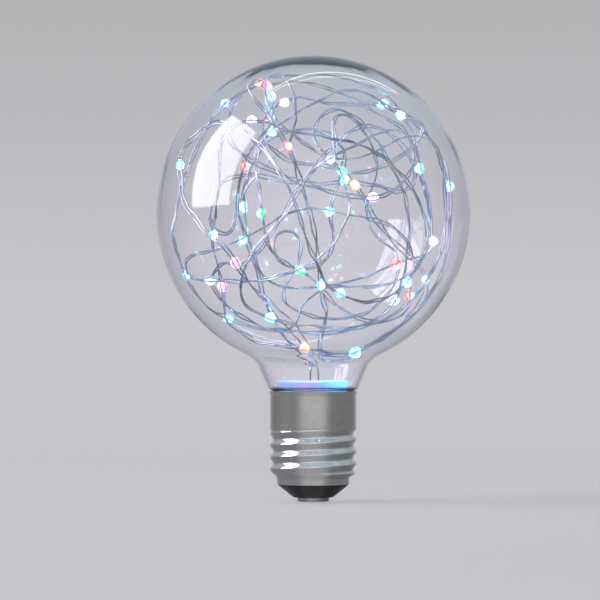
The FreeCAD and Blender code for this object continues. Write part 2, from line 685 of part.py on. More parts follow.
def shell_solder():
    """Drop of solder on the inside of the collar, round the end of the neutral lead."""
    drop = doc.addObject("Part::Sphere", "solder_drop")
    bind(drop, Radius=size.solder_radius)
    put(drop, NOTHING, collar_bore, solder_height)
    foot = solder_height - size.solder_radius
    seat = collar_bore - size.fit_gap
    bore = rod("solder_bore", (NOTHING, NOTHING, foot), seat, size.solder_radius * 2)
    seated = doc.addObject("Part::Common", "solder_seated")
    seated.Base = drop
    seated.Tool = bore
    start = (NOTHING, collar_bore / 2, solder_height)
    along = Rotation(Vector(1, 0, 0), -90)
    hole = rod("solder_hole", start, size.lead_diameter / 2, collar_bore / 2, along)
    return piece(cut("shell_solder", seated, hole), "shell_solder")


def board_solder():
    """Solder joints where the wires and leads meet the board."""
    side = board_width / 3
    forward = Rotation(Vector(1, 0, 0), 90)
    backward = Rotation(Vector(1, 0, 0), -90)
    places = (
        (-size.wire_left, -board_face, pad_top, forward),
        (size.wire_right, -board_face, pad_top, forward),
        (side, -board_face, board_bottom + size.pad_radius, forward),
        (-side, board_face, solder_height - size.neutral_drop + size.pad_radius, backward),
    )
    pads = []
    for number, (across, away, up, turn) in enumerate(places):
        pads.append(rod(f"pad_{number}", (across, away, up), size.pad_radius, size.pad_height, turn))
    made = doc.addObject("Part::Compound", "board_solder")
    made.Links = pads
    return piece(made, "board_solder")


def route_points():
    """Return the points of the string's middle line, and the runs that carry a lamp."""
    centre = Vector(0, 0, globe_centre.number)
    percent = inside_radius.number / 100
    points = []
    lamps = []
    for entry in ROUTE_SHARES:
        if isinstance(entry[0], tuple):
            middle, half = (Vector(*numbers) for numbers in entry)
            lamps.append(len(points))
            points += [centre + (middle - half) * percent, centre + (middle + half) * percent]
        else:
            points.append(centre + Vector(*entry) * percent)
    return points, lamps


def run_frames(points):
    """Return each run's direction, and the direction across the pair, carried on without twist."""
    alongs = [(end - start).normalize() for start, end in zip(points, points[1:])]
    side = FIRST_SIDE - alongs[0] * FIRST_SIDE.dot(alongs[0])
    sides = [side.normalize()]
    for before, after in zip(alongs, alongs[1:]):
        sides.append(Rotation(before, after).multVec(sides[-1]))
    return alongs, sides


def beside(points, alongs, sides, offset):
    """Return the corners of a wire that runs beside the middle line, square to every run."""
    corners = [points[0] + sides[0] * offset]
    for number in range(1, len(points) - 1):
        before, after = alongs[number - 1], alongs[number]
        slip = (sides[number - 1] - sides[number]) * offset
        square = before - after * before.dot(after)
        ahead = -slip.dot(square) / before.dot(square)
        corners.append(points[number] + sides[number - 1] * offset + before * ahead)
    corners.append(points[-1] + sides[-1] * offset)
    return corners


def lead_points(across, lead, start):
    """Return a wire's points from its solder joint, through the plug, to the start of the pair."""
    top = plug_top.number
    percent = inside_radius.number / 100
    depth = wire_depth.number
    points = [Vector(across, depth, (pad_top - size.pad_radius).number)]
    points.append(Vector(across, depth, top + size.wire_rise.number))
    for right, away, share in lead:
        points.append(Vector(right * percent, away * percent, top + (start.z - top) * share))
    return points


def light_string():
    """Two bare wires with lamp chips across them, each in a drop of clear epoxy."""
    points, lamp_runs = route_points()
    alongs, sides = run_frames(points)
    half = size.wire_spacing.number / 2
    middles = {run: (points[run] + points[run + 1]) / 2 for run in lamp_runs}
    wires = (
        ("string_wire_a", -size.wire_left.number, FIRST_LEAD_SHARES, half),
        ("string_wire_b", size.wire_right.number, SECOND_LEAD_SHARES, -half),
    )
    for name, across, lead, offset in wires:
        corners = beside(points, alongs, sides, offset)
        start = lead_points(across, lead, corners[0])
        lamps = {run + len(start): middle for run, middle in middles.items()}
        piece(bent_wire(name, start + corners, size.wire_diameter, lamps), name)
    places = []
    for run in lamp_runs:
        turn = Rotation(sides[run], alongs[run].cross(sides[run]), alongs[run], "ZXY")
        places.append(Placement(middles[run], turn))
    chip = lamp_chip()
    bead = lamp_bead(chip)
    doc.recompute()
    made = doc.addObject("Part::Feature", "led_chips")
    made.Shape = Part.makeCompound([placed(chip.Shape, place) for place in places])
    made.Placement = Placement()
    piece(made, "led_chips")
    for number, place in enumerate(places, start=1):
        made = doc.addObject("Part::Feature", f"led_bead_{number:02d}")
        made.Shape = bead.Shape
        made.Placement = place
        piece(made, f"led_bead_{number:02d}")


def placed(shape, place):
    """Return a copy of a shape at a place."""
    copy = shape.copy()
    copy.Placement = place.multiply(shape.Placement)
    return copy


def lamp_chip():
    """Lamp chip that lies across the two wires, about the lamp's own middle."""
    corner = (-(size.led_length / 2), size.wire_diameter / 2, -(size.led_width / 2))
    return box("chip", corner, size.led_length, size.led_height, size.led_width)


def lamp_bead(chip):
    """Drop of epoxy with room for the chip and the two wires."""
    drop = doc.addObject("Part::Ellipsoid", "drop")
    bind(drop, Radius1=size.bead_length / 2, Radius2=size.bead_diameter / 2, Radius3=size.bead_diameter / 2)
    radius = size.wire_diameter / 2
    half = size.wire_spacing / 2
    left = rod("left_wire", (-half, NOTHING, -size.bead_length), radius, size.bead_length * 2)
    right = rod("right_wire", (half, NOTHING, -size.bead_length), radius, size.bead_length * 2)
    return cut("bead", drop, joined("bead_room", [left, right, chip]))


def check_and_write():
    """Stop if anything failed, then write each sub-part to its own file."""
    doc.recompute()
    failed = [obj.Name for obj in doc.Objects if {"Invalid", "Error"} & set(obj.State)]
    for obj in pieces:
        if obj.Shape.isNull() or not obj.Shape.isValid() or obj.Shape.Volume <= 0:
            failed.append(obj.Label)
    if failed:
        raise RuntimeError("failed: " + ", ".join(failed))
    os.makedirs("parts", exist_ok=True)
    for obj in pieces:
        obj.Shape.exportStep(f"parts/{obj.Label}.step")
    print(len(pieces), "pieces written")


glass_globe()
screw_shell()
cap_insulator()
centre_contact()
shell_solder()
cap_cement()
neck_plug()
driver_board()
flat_chip("bridge_rectifier", board_bottom + size.chip_height, 2)
flat_chip("driver_ic", board_bottom + size.chip_height * 4, 4)
capacitor()
fuse_resistor()
cap_leads()
board_solder()
light_string()
check_and_write()
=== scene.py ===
"""Looks of a clear globe bulb with a string of small coloured lights lying loose inside it.

Every size is in metres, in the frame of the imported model: +Z up the bulb's axis, -Y towards the
side that the photograph shows, and the origin under the centre contact.
"""

import logging
import math
from dataclasses import dataclass, field
from enum import Enum

import bmesh
import bpy
import numpy as np
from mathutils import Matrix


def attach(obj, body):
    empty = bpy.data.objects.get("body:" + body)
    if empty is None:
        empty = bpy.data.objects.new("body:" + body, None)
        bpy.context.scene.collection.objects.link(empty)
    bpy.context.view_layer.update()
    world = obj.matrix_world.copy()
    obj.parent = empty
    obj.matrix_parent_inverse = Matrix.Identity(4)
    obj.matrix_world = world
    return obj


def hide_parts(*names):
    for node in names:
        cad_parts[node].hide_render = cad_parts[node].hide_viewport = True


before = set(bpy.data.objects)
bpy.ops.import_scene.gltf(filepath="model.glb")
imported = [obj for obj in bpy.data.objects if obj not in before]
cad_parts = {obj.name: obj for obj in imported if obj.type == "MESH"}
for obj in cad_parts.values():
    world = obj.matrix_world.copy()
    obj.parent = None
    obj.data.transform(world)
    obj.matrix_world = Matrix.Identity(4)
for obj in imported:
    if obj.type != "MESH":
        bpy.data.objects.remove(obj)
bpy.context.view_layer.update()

LOG = logging.getLogger("globe_bulb")
MM = 0.001
ROOT = "root"

# Route of the string's middle line, in percent of the globe's inside radius from the globe's centre:
# X to the right, Y away from the viewer, Z up. A plain point is a bend. A longer row is a lamp: its
# colour, its middle, and half of the straight run that it sits on.
ROUTE = (
    (-34, -36, -53), ("magenta", (-49.5, -53, -33), (-4, -3, 8)), (-66, -47, -16), (-83, -24, 4),
    ("cyan", (-86.5, -8, 31), (0, 5, 8)), (-78, 2, 50), (-62, -10, 60), (-44, -30, 52),
    (-26, -62, 33), (-12, -76, 8), (-5, -74, -18), (4, -64, -38),
    ("cyan", (16.9, -56, -53), (8, 4, -4)), (39, -44, -58), ("cyan", (59.7, -30, -45.1), (7, 5, 8)),
    (75, -16, -18), (70, -12, 6), (54, -22, 29), (34, -40, 42), (8, -52, 47), (-18, -50, 51),
    ("violet", (-39.5, -40, 57.7), (-9, 3, 0)), (-60, -32, 46), (-60, -26, 22),
    ("cyan", (-64.5, -18, -14.8), (-1, 3, -8)), ("pink", (-59.3, 4, -48.1), (1, 3, -9)),
    (-58, 8, -72), (-38, 0, -84), ("orange", (-5.7, -24, -87.8), (9, -2, -1)),
    ("cyan", (27, -18, -89.5), (8, -1, 3)), (52, -18, -77), (70, -18, -60), (82, -12, -42),
    (89, -2, -18), ("blue", (89, 6, 17.6), (-1, 3, 9)), (80, 14, 46), (64, 14, 64),
    ("cyan", (45.7, 8, 70.4), (-9, -1, 2)), (22, 8, 70), (2, 10, 73),
    ("white", (-18.9, 4, 72.1), (-8, -4, -4)), (-35, -10, 57), (-30, -16, 42), (-14, -20, 31.5),
    ("green", (18.8, -18, 26.3), (8, 0, -3)), (44, -18, 29), (64, -16, 40), (73, -12, 55),
    ("white", (57, -6, 63.5), (-8, 2, 3)), (38, -2, 78), (20, 0, 81.5), (2, -2, 72),
    ("cyan", (-26.5, -2, 53.1), (-7, 1, -6)), (-38, -2, 34), (-35, -6, 16),
    ("green", (-33, -10, -0.8), (1, 2, -8)), (-29, -2, -24), ("green", (-8.9, 2, -38.3), (8, 2, -4)),
    (14, 6, -60), (34, 2, -72), (54, 4, -70), ("red", (62.6, 10, -54.4), (0, 3, 8)), (67, 12, -28),
    (54, 4, -9), (34, -6, -3), ("cyan", (10.5, -12, 0.8), (-9, -1, 2)), (-16, -16, 0),
    ("cyan", (-45.7, -28, -17.4), (-8, -2, -4)), (-66, -30, -26), (-82, -22, -28), (-82, -16, -40),
    ("blue", (-66.3, -14, -44.2), (8, 2, 0)), (-36, -20, -45), (-6, -34, -37), (14, -44, -21),
    (24, -46, 0), ("cyan", (19.2, -40, 20.2), (-2, 3, 8)), (4, -32, 37), (-14, -28, 50),
    (-30, -18, 66), ("pink", (-30.5, -14, 82), (1, 2, 8)), (-17, -9, 90), (-12, -18, 74),
    (-11, -16, 60), (-14, -6, 46), (-24, 2, 38), (-40, 6, 22), ("blue", (-45.1, 8, 3.7), (1, 0, -8)),
    (-40, 4, -22), (-33, 6, -44), (-12, 14, -50), (12, 18, -47.5), (34, 18, -43),
    ("red", (54, 18, -33.1), (8, 3, 3)), ("white", (78.4, 20, -18.5), (-0.5, 2, 8)), (76, 24, 6),
    ("cyan", (71, 22, 29.6), (-2, -2, 8)), (66, 22, 54), (56, 22, 71), (40, 18, 84), (14, 10, 93),
    (-14, 6, 92), ("orange", (-35.9, -6, 86), (-8, -3, -4)), (-52, -32, 66), (-57, -46, 48),
    (-42, -54, 32), (-16, -48, 21.5), (8, -56, 12.5), ("violet", (37.9, -50, 8.5), (8, 2, 0.5)),
    (60, -44, 20), (66, -38, 38), (56, -42, 54), (40, -46, 49),
    ("blue", (10.5, -54, 33.5), (-8, -1, -4)), (-6, -42, 18), (-18, -50, -4), (-36, -44, -20),
    (-46, -36, -40), (-47, -26, -58), ("cyan", (-27.7, -22, -68.3), (8, -1, -3)), (0, -30, -74),
    (28, -34, -75), (54, -32, -66), (74, -26, -44), (84, -20, -22), (86, -12, 4), (84, -14, 28),
    (77, -24, 47), (62, -26, 50), (46, -22, 42), (24, -26, 32), (8, -24, 36), (-1, -16, 48),
    (3, -8, 62), (16, -4, 68), (30, -8, 60), (42, -12, 46), (58, -10, 16), (63, -8, -6),
    (61, -10, -28), ("blue", (53.3, 20, -57.8), (-5, 3, -8)), (36, 22, -74), (10, 26, -80),
    (-18, 20, -77), (-38, 20, -76), ("cyan", (-55.8, 22, -69), (-8, 1, 3)), (-76, 16, -54),
    ("blue", (-83.5, 4, -41.5), (-3, -3, 8)), (-92, -8, -14), (-88, 2, 10), (-80, 14, 34),
    (-70, 14, 56), ("blue", (-57.5, 8, 71.5), (6, -1, 6)), (-32, 14, 86), (-6, 22, 90), (22, 34, 79),
    (47, 40, 65), (64, 38, 54), (70, 40, 32), (77, 40, 8), (78, 36, -20), (64, 40, -42),
    (38, 46, -50), (8, 48, -47), (-8, 46, -60), (-12, 42, -78), (-34, 38, -76), (-58, 34, -62),
    (-70, 32, -46), (-60, 40, -30), (-46, 46, -36), (-30, 52, -18), (-17, 56, 8), (0, 56, 30),
    (14, 54, 48), (38, 53, 62), (60, 47, 47), (72, 48, 24), (58, 58, 12), (37, 64, 22), (-8, 70, 20),
    (-47, 61, 29), (-66, 48, 18), (-69, 46, -8), (-56, 56, -16), (-50, 62, 4), (-38, 53, 42),
    (-20, 56, 56), (4, 62, 58), (24, 68, 44), (19, 74, 26), (10, 76, 2), (16, 76, -22), (-2, 72, -40),
    (-26, 66, -32), (-26, 68, -10), (-8, 74, -12), (-9, 64, -34), (-24, 56, -56), (-2, 54, -70),
    (30, 52, -70), (54, 50, -52), (58, 58, -26), (40, 68, -14), (34, 72, 6), (46, 62, 34),
    (28, 45, 64), (13, 27, 66), (14, 22, 48), (17, 16, 32), ("orange", (27.3, 14, 18), (6, 1, -7)),
    (42, 24, -6), (57, 32, -24), ("blue", (74.5, 26, -44), (1, -4, -8)), (66, 14, -65), (52, 8, -78),
    (32, 6, -89), (16, 4, -96), (5, 8, -94), (4, 9, -83), (10, 4, -66),
    ("cyan", (4.6, -8, -47.3), (-1, -4, 8)), (2, -28, -16), (-5, -32, 10), (-11, -32, 28),
    ("red", (-16.5, -36, 41.5), (-4, -1, 8)), (-32, -32, 66), (-41, -24, 76), (-42, -20, 82),
    (-36, -20, 86), ("cyan", (-27.7, -24, 74.2), (3, -3, -7)), (-29, -26, 54), (-38, -32, 42),
    ("red", (-44.6, -34, 29.2), (-2, 1, -8)), (-50, -18, 6), (-44, -8, -16), (-36, -10, -38),
    (-31, -6, -58), (-25, -6, -74), ("clear", (-3.6, -14, -95.2), (5, -2, -4)),
)

# Each wire's own way from the plug to the start of the pair: X and Y as above, then the share of the
# height between the plug and the pair's first point.
FIRST_LEAD = (
    (-1.2, -3, 0.22), (-3, -5, 0.33), (-8, -7, 0.45), (-15, -10, 0.57), (-22, -14, 0.72), (-29, -24, 0.87),
)
SECOND_LEAD = (
    (1.8, -2.5, 0.22), (0, -3.5, 0.31), (-4, -5, 0.45), (-10, -7, 0.60), (-17, -10, 0.73), (-25, -19, 0.86),
)

# The first wire starts on this side of the pair's middle line.
FIRST_SIDE = (-0.6, 0.0, -0.8)

# The range that a noise texture seldom leaves.
USUAL_NOISE = (0.3, 0.7)

# Vertices nearer to each other than this are one.
SAME_PLACE = 0.0001 * MM


@dataclass(frozen=True)
class Span:
    """A change of one value with another: from low to high it goes from first to last."""

    low: float
    high: float
    first: float = 0.0
    last: float = 1.0

    def over(self, value: bpy.types.NodeSocket | bpy.types.Node) -> dict:
        """Returns the inputs that map a value in this way."""
        ends = {"From Min": self.low, "From Max": self.high, "To Min": self.first, "To Max": self.last}
        return {"Value": value, **ends}


def linear(hex_colour: str) -> tuple[float, float, float, float]:
    """Turns an sRGB colour into the linear values that shaders take.

    Args:
        hex_colour: The colour as "#rrggbb".

    Returns:
        Red, green, blue and an alpha of 1.
    """
    parts = [int(hex_colour[i:i + 2], 16) / 255 for i in (1, 3, 5)]
    red, green, blue = (c / 12.92 if c <= 0.04045 else ((c + 0.055) / 1.055) ** 2.4 for c in parts)
    return red, green, blue, 1.0


def add_node(tree: bpy.types.NodeTree, kind: str, inputs: dict | None = None, **settings) -> bpy.types.Node:
    """Adds a node with its settings and links.

    Args:
        tree: The node tree.
        kind: The node's type name.
        inputs: Socket name or number to a value, to another node, which gives its first output, or to
            an output socket.
        **settings: Attributes of the node.

    Returns:
        The new node.
    """
    node = tree.nodes.new(kind)
    for name, setting in settings.items():
        setattr(node, name, setting)
    for name, value in (inputs or {}).items():
        source = value.outputs[0] if isinstance(value, bpy.types.Node) else value
        if isinstance(source, bpy.types.NodeSocket):
            tree.links.new(source, node.inputs[name])
        else:
            node.inputs[name].default_value = source
    return node


def empty_material(name: str) -> tuple[bpy.types.Material, bpy.types.NodeTree]:
    """Makes a material and clears its node tree.

    Args:
        name: The material's name.

    Returns:
        The material and its tree.
    """
    material = bpy.data.materials.new(name)
    material.use_nodes = True
    material.node_tree.nodes.clear()
    return material, material.node_tree


def mottle(
    tree: bpy.types.NodeTree, grain: float, ends: tuple[float, float] = (0.0, 1.0),
    stretch: tuple[float, float, float] = (1.0, 1.0, 1.0), detail: float = 3.0,
) -> bpy.types.Node:
    """Adds noise of a real grain size on Object coordinates, mapped to a range.

    Args:
        tree: The node tree.
        grain: Size of the noise in metres.
        ends: Values where the noise is low and where it is high.
        stretch: How much finer the noise is along each axis.
        detail: Octaves of the noise.

    Returns:
        The node that gives the mapped value.
    """
    place = add_node(tree, "ShaderNodeTexCoord").outputs["Object"]
    mapped = add_node(tree, "ShaderNodeMapping", {"Vector": place, "Scale": stretch})
    noise = add_node(tree, "ShaderNodeTexNoise", {"Vector": mapped, "Scale": 1 / grain, "Detail": detail})
    return add_node(tree, "ShaderNodeMapRange", Span(*USUAL_NOISE, *ends).over(noise))


def straight_view(tree: bpy.types.NodeTree) -> bpy.types.Node:
    """Tells a camera ray, and one that has passed clear glass without a reflection, by a value of 1.

    Args:
        tree: The node tree.

    Returns:
        The node that gives 1 for those rays and 0 for all others.
    """
    path = add_node(tree, "ShaderNodeLightPath").outputs
    unreflected = add_node(tree, "ShaderNodeMath", {0: path["Glossy Depth"], 1: 0.5}, operation="LESS_THAN")
    through = add_node(
        tree, "ShaderNodeMath", {0: path["Is Transmission Ray"], 1: unreflected}, operation="MULTIPLY"
    )
    return add_node(tree, "ShaderNodeMath", {0: path["Is Camera Ray"], 1: through}, operation="MAXIMUM")


class Glow(Enum):
    """Colours of the lamps: the light's hue, its paler tone in the hot middle, and its brightness."""

    CYAN = ("#35b4f5", "#9be8ff", 1.0)
    BLUE = ("#3f7dfa", "#9cc4ff", 1.0)
    WHITE = ("#a9adff", "#eceaff", 1.1)
    VIOLET = ("#a070ff", "#ddc8ff", 1.0)
    MAGENTA = ("#c84df0", "#f0a8ff", 0.9)
    PINK = ("#ff5fa8", "#ffb0d2", 0.7)
    RED = ("#ff3f45", "#ff9a8c", 0.7)
    ORANGE = ("#ff7a3a", "#ffc796", 0.75)
    GREEN = ("#16d878", "#8affc4", 0.6)
    CLEAR = ("#b9a892", "#d8ccb8", 0.0)

    @property
    def hue(self) -> str:
        """Returns the light's saturated colour."""
        return self.value[0]

    @property
    def core(self) -> str:
        """Returns the paler colour of the hot middle."""
        return self.value[1]

    @property
    def power(self) -> float:
        """Returns the brightness, where 1 is a usual lamp and 0 is one that is off."""
        return self.value[2]


@dataclass(frozen=True)
class BlownGlass:
    """Clear soda-lime glass, blown and polished by the fire.

    The surface is a mirror with very shallow waves. Iron in the glass shows as a blue-green tint only
    where the eye looks through a long stretch of wall, at the rim and at the thick crown.
    """

    ior: float = 1.52
    tint: str = "#fdfcff"
    depth_tint: str = "#5cabb8"
    absorption: float = 15.0
    wave: float = 16 * MM
    wave_stretch: tuple[float, float, float] = (1.0, 1.0, 0.5)
    wave_depth: float = 0.012 * MM

    def material(self) -> bpy.types.Material:
        """Makes the glass, with absorption in its wall and shallow waves on its skin.

        Returns:
            The material.
        """
        material, tree = empty_material("clear_blown_glass")
        waves = mottle(tree, self.wave, stretch=self.wave_stretch, detail=1.0)
        bump = add_node(tree, "ShaderNodeBump", {
            "Height": waves, "Distance": self.wave_depth, "Strength": 1.0,
        })
        shader = add_node(tree, "ShaderNodeBsdfPrincipled", {
            "Base Color": linear(self.tint), "Roughness": 0.0, "IOR": self.ior,
            "Transmission Weight": 1.0, "Normal": bump,
        })
        wall = add_node(tree, "ShaderNodeVolumeAbsorption", {
            "Color": linear(self.depth_tint), "Density": self.absorption,
        })
        add_node(tree, "ShaderNodeOutputMaterial", {"Surface": shader, "Volume": wall})
        return material


@dataclass(frozen=True)
class Moulding:
    """Moulded, cast or lacquered: two close colours in clouds, a changing roughness, and a fine skin."""

    name: str
    colour: str
    second_colour: str
    roughness: tuple[float, float]
    grain: float
    dent: float = 0.0
    coat: float = 0.0
    coat_roughness: float = 0.08
    clouds: float = 10.0
    stretch: tuple[float, float, float] = (1.0, 1.0, 1.0)
    metallic: float = 0.0

    def material(self) -> bpy.types.Material:
        """Makes the finish. Its clouds are as many times the grain as the field says.

        Returns:
            The material.
        """
        material, tree = empty_material(self.name)
        clouds = mottle(tree, self.grain * self.clouds)
        colours = {0: clouds, 6: linear(self.colour), 7: linear(self.second_colour)}
        inputs = {
            "Base Color": add_node(tree, "ShaderNodeMix", colours, data_type="RGBA").outputs[2],
            "Roughness": mottle(tree, self.grain, self.roughness, self.stretch),
            "Metallic": self.metallic, "Coat Weight": self.coat, "Coat Roughness": self.coat_roughness,
        }
        if self.dent:
            height = mottle(tree, self.grain, stretch=self.stretch)
            dents = {"Height": height, "Distance": self.dent, "Strength": 1.0}
            inputs["Normal"] = add_node(tree, "ShaderNodeBump", dents)
        shader = add_node(tree, "ShaderNodeBsdfPrincipled", inputs)
        add_node(tree, "ShaderNodeOutputMaterial", {"Surface": shader})
        return material


@dataclass(frozen=True)
class Metal(Moulding):
    """Bare or plated metal: a colour with faint dull clouds, and a roughness that changes a little."""

    clouds: float = 8.0
    metallic: float = 1.0


@dataclass(frozen=True)
class ClearEpoxy:
    """Clear two-part epoxy that has run round a lamp chip: glossy, a little cloudy, lit by its chip.

    Cloudy epoxy scatters the most light close to the chip. So the middle of a drop is white-hot, and
    the light fades into the lamp's own colour towards the rim. Distances are shares of the drop's size.
    """

    glow: Glow
    surface: float = 0.22
    depth: float = 3000.0
    rim_depth: float = 180.0
    hot: str = "#fffcff"
    unlit: str = "#efe4d2"
    ior: float = 1.5
    haze: float = 0.5 * MM
    roughness: tuple[float, float] = (0.03, 0.16)
    fading: tuple[float, float] = (0.06, 0.4)
    colouring: tuple[float, float] = (0.12, 0.38)

    def material(self) -> bpy.types.Material:
        """Makes the epoxy for one colour of lamp.

        Returns:
            The material.
        """
        material, tree = empty_material(f"epoxy_{self.glow.name.lower()}")
        tint = self.glow.core if self.glow.power else self.unlit
        shader = add_node(tree, "ShaderNodeBsdfPrincipled", {
            "Base Color": linear(tint), "IOR": self.ior, "Transmission Weight": 1.0,
            "Roughness": mottle(tree, self.haze, self.roughness),
            "Emission Color": linear(self.glow.hue), "Emission Strength": self.surface * self.glow.power,
        })
        inside = {"Volume": self.scattered_light(tree)} if self.glow.power else {}
        add_node(tree, "ShaderNodeOutputMaterial", {"Surface": shader, **inside})
        return material

    def scattered_light(self, tree: bpy.types.NodeTree) -> bpy.types.Node:
        """Makes the light in the epoxy: white-hot round the chip, and the lamp's colour at the rim.

        Args:
            tree: The node tree.

        Returns:
            The node that glows inside the drop.
        """
        place = add_node(tree, "ShaderNodeTexCoord").outputs["Generated"]
        ends = {0: place, 1: (0.5, 0.5, 0.5)}
        middle = add_node(tree, "ShaderNodeVectorMath", ends, operation="DISTANCE").outputs["Value"]
        rim = add_node(tree, "ShaderNodeMapRange", Span(*self.colouring).over(middle))
        colours = {0: rim, 6: linear(self.hot), 7: linear(self.glow.hue)}
        fading = Span(*self.fading, self.depth * self.glow.power, self.rim_depth * self.glow.power)
        return add_node(tree, "ShaderNodeEmission", {
            "Color": add_node(tree, "ShaderNodeMix", colours, data_type="RGBA").outputs[2],
            "Strength": add_node(
                tree, "ShaderNodeMapRange", fading.over(middle), interpolation_type="SMOOTHSTEP"
            ),
        })


@dataclass(frozen=True)
class LitDome:
    """Phosphor and clear resin over the diode: the brightest point of a lamp."""

    glow: Glow
    strength: float = 14.0
    grain: float = 0.2 * MM
    roughness: tuple[float, float] = (0.2, 0.45)

    def material(self) -> bpy.types.Material:
        """Makes the dome for one colour of lamp.

        Returns:
            The material.
        """
        material, tree = empty_material(f"dome_{self.glow.name.lower()}")
        colour = linear(self.glow.core)
        shader = add_node(tree, "ShaderNodeBsdfPrincipled", {
            "Base Color": colour, "Roughness": mottle(tree, self.grain, self.roughness),
            "Emission Color": colour, "Emission Strength": self.strength * self.glow.power,
        })
        add_node(tree, "ShaderNodeOutputMaterial", {"Surface": shader})
        return material


@dataclass(frozen=True)
class NylonWithPaintedGlow:
    """White nylon, translucent. Its pale blue colour and its glow are painted light: the plug is no lamp,
    and they stand in for the blue light of the lamps over it.
    """

    # Pale blue, not white: painted light of the lamps over the plug.
    colour: str = "#d2e2fa"
    # Colour and strength of a painted glow; the plug gives no light of its own.
    light: str = "#6f9ff0"
    strength: float = 0.2
    grain: float = 0.3 * MM
    roughness: tuple[float, float] = (0.35, 0.5)
    dent: float = 0.005 * MM

    def material(self) -> bpy.types.Material:
        """Makes the plug's nylon, with its painted blue colour and glow.

        Returns:
            The material.
        """
        material, tree = empty_material("white_nylon_painted_glow")
        height = mottle(tree, self.grain)
        shader = add_node(tree, "ShaderNodeBsdfPrincipled", {
            "Base Color": linear(self.colour), "Roughness": mottle(tree, self.grain, self.roughness),
            # Painted glow: this emission stands in for the lamps' light falling on the plug.
            "Emission Color": linear(self.light), "Emission Strength": self.strength,
            "Normal": add_node(tree, "ShaderNodeBump", {
                "Height": height, "Distance": self.dent, "Strength": 1.0,
            }),
        })
        add_node(tree, "ShaderNodeOutputMaterial", {"Surface": shader})
        return material


# Nickel over brass: warm grey, satin from the plating bath, with rolling marks round the shell that
# are drawn a little coarser than real, so that they show.
NICKEL_PLATE = Metal(
    "nickel_plated_brass", "#e9e5dd", "#e0dbd2", (0.08, 0.17), 0.35 * MM, 0.001 * MM, stretch=(1, 1, 6)
)
# Silvered copper wire: bright, and dull grey where handling has worn it.
SILVERED_COPPER = Metal("silvered_copper_wire", "#f0f0f4", "#989bab", (0.05, 0.13), 0.8 * MM)
# Copper dipped in tin: pale grey with a soft gloss, dull in clouds.
TINNED_COPPER = Metal("tinned_copper_lead", "#cfcfca", "#a9a8a2", (0.22, 0.4), 0.5 * MM)
# Tin solder, set in air: grey, with small waves and a gloss that changes from spot to spot.
TIN_SOLDER = Metal("tin_solder", "#cbccce", "#a6a8ab", (0.25, 0.5), 0.3 * MM, 0.02 * MM)
# Phenolic moulding: black with a brown cast, glossy from the tool.
BLACK_PHENOLIC = Moulding("black_phenolic", "#141315", "#1d1a19", (0.18, 0.36), 0.25 * MM, 0.004 * MM, 0.4)
# Capping cement, smeared and baked: sand-coloured, chalky and rough.
CAPPING_CEMENT = Moulding("capping_cement", "#c9c0ab", "#aa9f8a", (0.7, 0.95), 0.4 * MM, 0.05 * MM)
# Glass fibre board under green lacquer: glossy, over a faint weave.
SOLDER_MASK = Moulding("solder_mask", "#1d6b3c", "#17552f", (0.2, 0.35), 0.4 * MM, 0.004 * MM, 0.5)
# Housings of the small parts, moulded in filled epoxy: near black and matt.
MOULDED_EPOXY = Moulding("moulded_epoxy", "#1b1b1d", "#262628", (0.5, 0.7), 0.15 * MM, 0.01 * MM)
# Vinyl sleeve, shrunk on: dark blue-grey and smooth, with a soft gloss.
VINYL_SLEEVE = Moulding("capacitor_sleeve", "#20242c", "#2b303a", (0.25, 0.4), 0.5 * MM, 0.0, 0.3)
# Lacquer that the resistor was dipped in: grey-blue, glossy, uneven where it ran.
LACQUER = Moulding("resistor_lacquer", "#8aa4a6", "#7b9496", (0.25, 0.4), 0.3 * MM, 0.004 * MM, 0.3)
# Fired alumina: white and matt, with its grain drawn coarser than real, so that it shows.
CHIP_CERAMIC = Moulding("lamp_chip_ceramic", "#e9ebee", "#dcdfe4", (0.4, 0.55), 0.1 * MM)


def grid_faces(rows: int, columns: int, wrap_rows: bool) -> np.ndarray:
    """Lists the four corners of each face of a grid whose last column joins the first.

    Args:
        rows: Points down the grid.
        columns: Points across the grid.
        wrap_rows: Join the last row to the first too.

    Returns:
        An array of four vertex numbers a face.
    """
    down = np.arange(rows if wrap_rows else rows - 1)
    row, column = (a.ravel() for a in np.meshgrid(down, np.arange(columns), indexing="ij"))
    below, beside = (row + 1) % rows, (column + 1) % columns
    corners = (row, column), (below, column), (below, beside), (row, beside)
    return np.stack([r * columns + c for r, c in corners], axis=1)


@dataclass
class Skin:
    """Vertices and faces of closed surfaces, gathered before they go into a mesh."""

    vertices: list[np.ndarray] = field(default_factory=list)
    faces: list[list[int]] = field(default_factory=list)

    def add_grid(self, points: np.ndarray, wrap_rows: bool = False) -> None:
        """Adds a surface given as a grid of points.

        Args:
            points: Array of rows, columns and coordinates. Rows go down where columns go anticlockwise,
                so that the faces look outwards.
            wrap_rows: Join the last row to the first.
        """
        rows, columns = points.shape[:2]
        start = sum(len(v) for v in self.vertices)
        self.vertices.append(points.reshape(-1, 3))
        self.faces += (grid_faces(rows, columns, wrap_rows) + start).tolist()

    def to_object(self, name: str, crease: float = 40.0) -> bpy.types.Object:
        """Makes a smooth mesh object that is closed and faces outwards.

        Args:
            name: The object's name.
            crease: Edges that turn more than this many degrees stay sharp.

        Returns:
            The new object, at the origin.
        """
        mesh = bpy.data.meshes.new(name)
        mesh.from_pydata(np.concatenate(self.vertices).tolist(), [], self.faces)
        work = bmesh.new()
        work.from_mesh(mesh)
        bmesh.ops.remove_doubles(work, verts=work.verts, dist=SAME_PLACE)
        if work.calc_volume(signed=True) < 0:
            bmesh.ops.reverse_faces(work, faces=work.faces)
        work.to_mesh(mesh)
        work.free()
        mesh.polygons.foreach_set("use_smooth", np.ones(len(mesh.polygons), bool))
        mesh.set_sharp_from_angle(angle=math.radians(crease))
        made = bpy.data.objects.new(name, mesh)
        bpy.context.scene.collection.objects.link(made)
        return made


